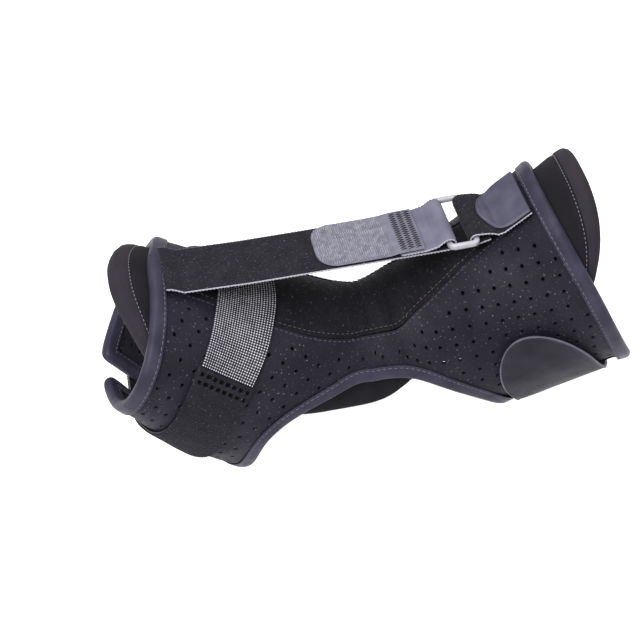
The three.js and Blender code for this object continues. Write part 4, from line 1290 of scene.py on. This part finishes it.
corner_share = 1 - np.cos(np.linspace(0, np.pi / 2, 24))
hook_straight = np.arange(HOOK_CORNER + 0.6, hook_length, STRAP_STEP)
hook_lengths = np.concatenate([HOOK_CORNER * corner_share, hook_straight])
hook_half = corner_width(hook_lengths, STRAP_WIDTH / 2 - 0.2, HOOK_CORNER)
hook_backing, node, links, shader = finish_named("hook_tape", 0.6)
flat = flat_layout(node)
cloud = mottle(node, flat, 120.0, 4.0)
grey = [(0.3, (0.075, 0.073, 0.098)), (0.72, (0.125, 0.122, 0.155))]
links.new(ramp(node, cloud, grey), shader.inputs["Base Color"])
weave = node("TexVoronoi", {"feature": "F1"}, Vector=flat, Scale=700.0).outputs["Distance"]
bumps(node, links, shader, (0.4, 0.0004, weave))
faint_sheen(shader)
hook_tab = strap_piece("hook_tab_backing", hook_lengths, hook_place, hook_half, hook_backing, None,
                       across_steps=41, thick=HOOK_THICK)
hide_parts("hook_tab")


def hook_field(name, finish):
    """The moulded hooks: little bent posts in rows across the tape."""
    verts, faces, layout = [], [], []
    spots = []
    row = 0
    for length in np.arange(1.4, HOOK_LENGTH - 4.5, 1.25):
        half = float(corner_width(np.array(length), STRAP_WIDTH / 2 - 1.2, HOOK_CORNER - 1))
        for across in np.arange(-18.0 + (0.6 if row % 2 else 0.0), 18.1, 1.2):
            if abs(across) < half:
                spots.append((length, across))
        row += 1
    rings, sides = 4, 5
    for length, across in spots:
        start = len(verts)
        bend = 0.28 * noise.noise(Vector((length, across, 2.0)))
        for r in range(rings):
            t = r / (rings - 1)
            radius = 0.34 * (1 - 0.45 * t)
            lean = 0.45 * t * t
            for k in range(sides):
                a = 2 * math.pi * k / sides
                verts.append((length + lean + radius * math.cos(a), across + bend * t + radius * math.sin(a),
                              HOOK_THICK / 2 - 0.1 + 0.75 * t))
                layout.append((length, across))
        faces += tube_faces(rings, sides, start)
    v = np.array(verts)
    piece = make_piece(name, hook_place(v[:, 0], v[:, 1], v[:, 2]), faces, layout, finish, 60)
    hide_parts("hook_tab")


hooks_finish, node, links, shader = finish_named("hook_tips", 0.45)
flat = flat_layout(node)
cloud = mottle(node, flat, 300.0, 3.0)
tips = [(0.3, (0.12, 0.118, 0.145)), (0.72, (0.34, 0.335, 0.38))]
links.new(ramp(node, cloud, tips), shader.inputs["Base Color"])
links.new(ramp(node, cloud, [(0.3, (0.55,) * 3), (0.72, (0.38,) * 3)]), shader.inputs["Roughness"])
hook_field("hook_tab_hooks", hooks_finish)
ZIGZAG_SWING, ZIGZAG_THREAD = 1.9, 0.24
zigzag = []
zig_from, zig_to = HOOK_LENGTH + 0.5, hook_length - 1.5
for column in range(3):
    base = zig_from + (zig_to - zig_from) * (column + 0.5) / 3
    across = np.arange(-17.2, 17.3, 1.0)
    for k in range(len(across) - 1):
        swing = ZIGZAG_SWING if k % 2 else -ZIGZAG_SWING
        zigzag.append(((base + swing, across[k]), (base - swing, across[k + 1])))


def zigzag_seam(name, strokes, place, height, finish, node_name):
    verts, faces, layout = [], [], []
    sides, rings = 6, 5
    for (l0, a0), (l1, a1) in strokes:
        start = len(verts)
        d = np.array([l1 - l0, a1 - a0])
        n = np.array([-d[1], d[0]]) / np.linalg.norm(d)
        for r in range(rings):
            t = r / (rings - 1)
            for k in range(sides):
                a = 2 * math.pi * k / sides
                out_by, up_by = ZIGZAG_THREAD * math.cos(a), ZIGZAG_THREAD * math.sin(a)
                verts.append((l0 + d[0] * t + n[0] * out_by, a0 + d[1] * t + n[1] * out_by,
                              height + 0.16 * math.sin(math.pi * t) + up_by - 0.05))
                layout.append((l0 * 7 + t * 3, k * 0.3))
        faces += tube_faces(rings, sides, start, turned=True)
    v = np.array(verts)
    piece = make_piece(name, place(v[:, 0], v[:, 1], v[:, 2]), faces, layout, finish, 60)
    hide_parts(node_name)


grey_thread = sewing_thread("grey_thread", (0.016, 0.015, 0.021), (0.006, 0.0055, 0.008))
zigzag_seam("hook_tab_zigzag", zigzag, hook_place, HOOK_THICK / 2, grey_thread, "hook_tab")

# Anchor strap and shin tab
# A short loop strap from the ring's rear bar down to the shin, under a smooth laminated tab that is sewn in at
# the shin edge and rounded towards the ring.
anchor_bend = bar_x + BEND_RUN
anchor_seats = [seat_at(w, STRAP_BASE + STRAP_THICK / 2) for w in (0.8, 0.87, 0.945)]
anchor_place, anchor_length = strap_course(
    [(anchor_bend, return_z), *arc(bar_x, 0, fold_radius, 270, 90),
     (anchor_bend, fold_radius - 1), *anchor_seats], 1)
anchor = strap_piece("anchor_strap_loop", np.arange(0, anchor_length, STRAP_STEP), anchor_place,
                     STRAP_WIDTH / 2, loop_cloth, napped_relief, STRAP_STEPS)
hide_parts("anchor_strap")
# Painted highlight: the near edge takes the lighter yarn, as on the tension strap.
for across, mark, yarn in ((-strap_edge, "near", painted_lit_yarn), (strap_edge, "far", edge_yarn)):
    scalloped_edge("anchor_edge_" + mark, anchor_place, anchor_length, across, 0.6, yarn, "anchor_strap")

shin_tip = anchor_bend - 4


def moved_up(line, distance):
    points = np.array(line, float)
    out = []
    for k, p in enumerate(points):
        a = p - points[max(k - 1, 0)] if k else points[1] - p
        b = points[min(k + 1, len(points) - 1)] - p if k < len(points) - 1 else a
        a, b = a / np.linalg.norm(a), b / np.linalg.norm(b)
        m = (a + b) / np.linalg.norm(a + b)
        r = distance / max(0.5, m @ b)
        out.append((p[0] - m[1] * r, p[1] + m[0] * r))
    return out


shin_place, shin_length = strap_course(
    moved_up([(shin_tip, fold_radius), (anchor_bend, fold_radius - 1), *anchor_seats], LAYER), 2)
round_share = np.linspace(0, np.pi / 2, 40)
shin_straight = np.arange(strap_edge + 0.6, shin_length, 0.9)
shin_lengths = np.concatenate([strap_edge * (1 - np.cos(round_share)), shin_straight])
shin_half = np.maximum(corner_width(shin_lengths, strap_edge, strap_edge), 0.4)


def welted(length, across):
    half = np.interp(length, shin_lengths, shin_half)
    inward = np.minimum(half - np.abs(across), length)
    return 0.22 * np.exp(-((inward - 0.8) / 0.6) ** 2) - 0.14 * np.exp(-((inward - 2.4) / 0.7) ** 2)


shin_cloth = smooth_tape("shin_tab", (0.036, 0.034, 0.054), (0.06, 0.0575, 0.084), 0.5)
shin_tab = strap_piece("shin_tab_laminate", shin_lengths, shin_place, shin_half, shin_cloth, welted,
                       STRAP_STEPS)
# Painted highlight: the edge faces and the rounded end take the lighter welt finish.
shin_tab.data.materials.append(painted_welt_highlight)
for polygon in shin_tab.data.polygons:
    row, column = divmod(polygon.index, faces_round(STRAP_STEPS))
    if column in edge_columns(STRAP_STEPS) or row < 3:
        polygon.material_index = 1
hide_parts("shin_tab")
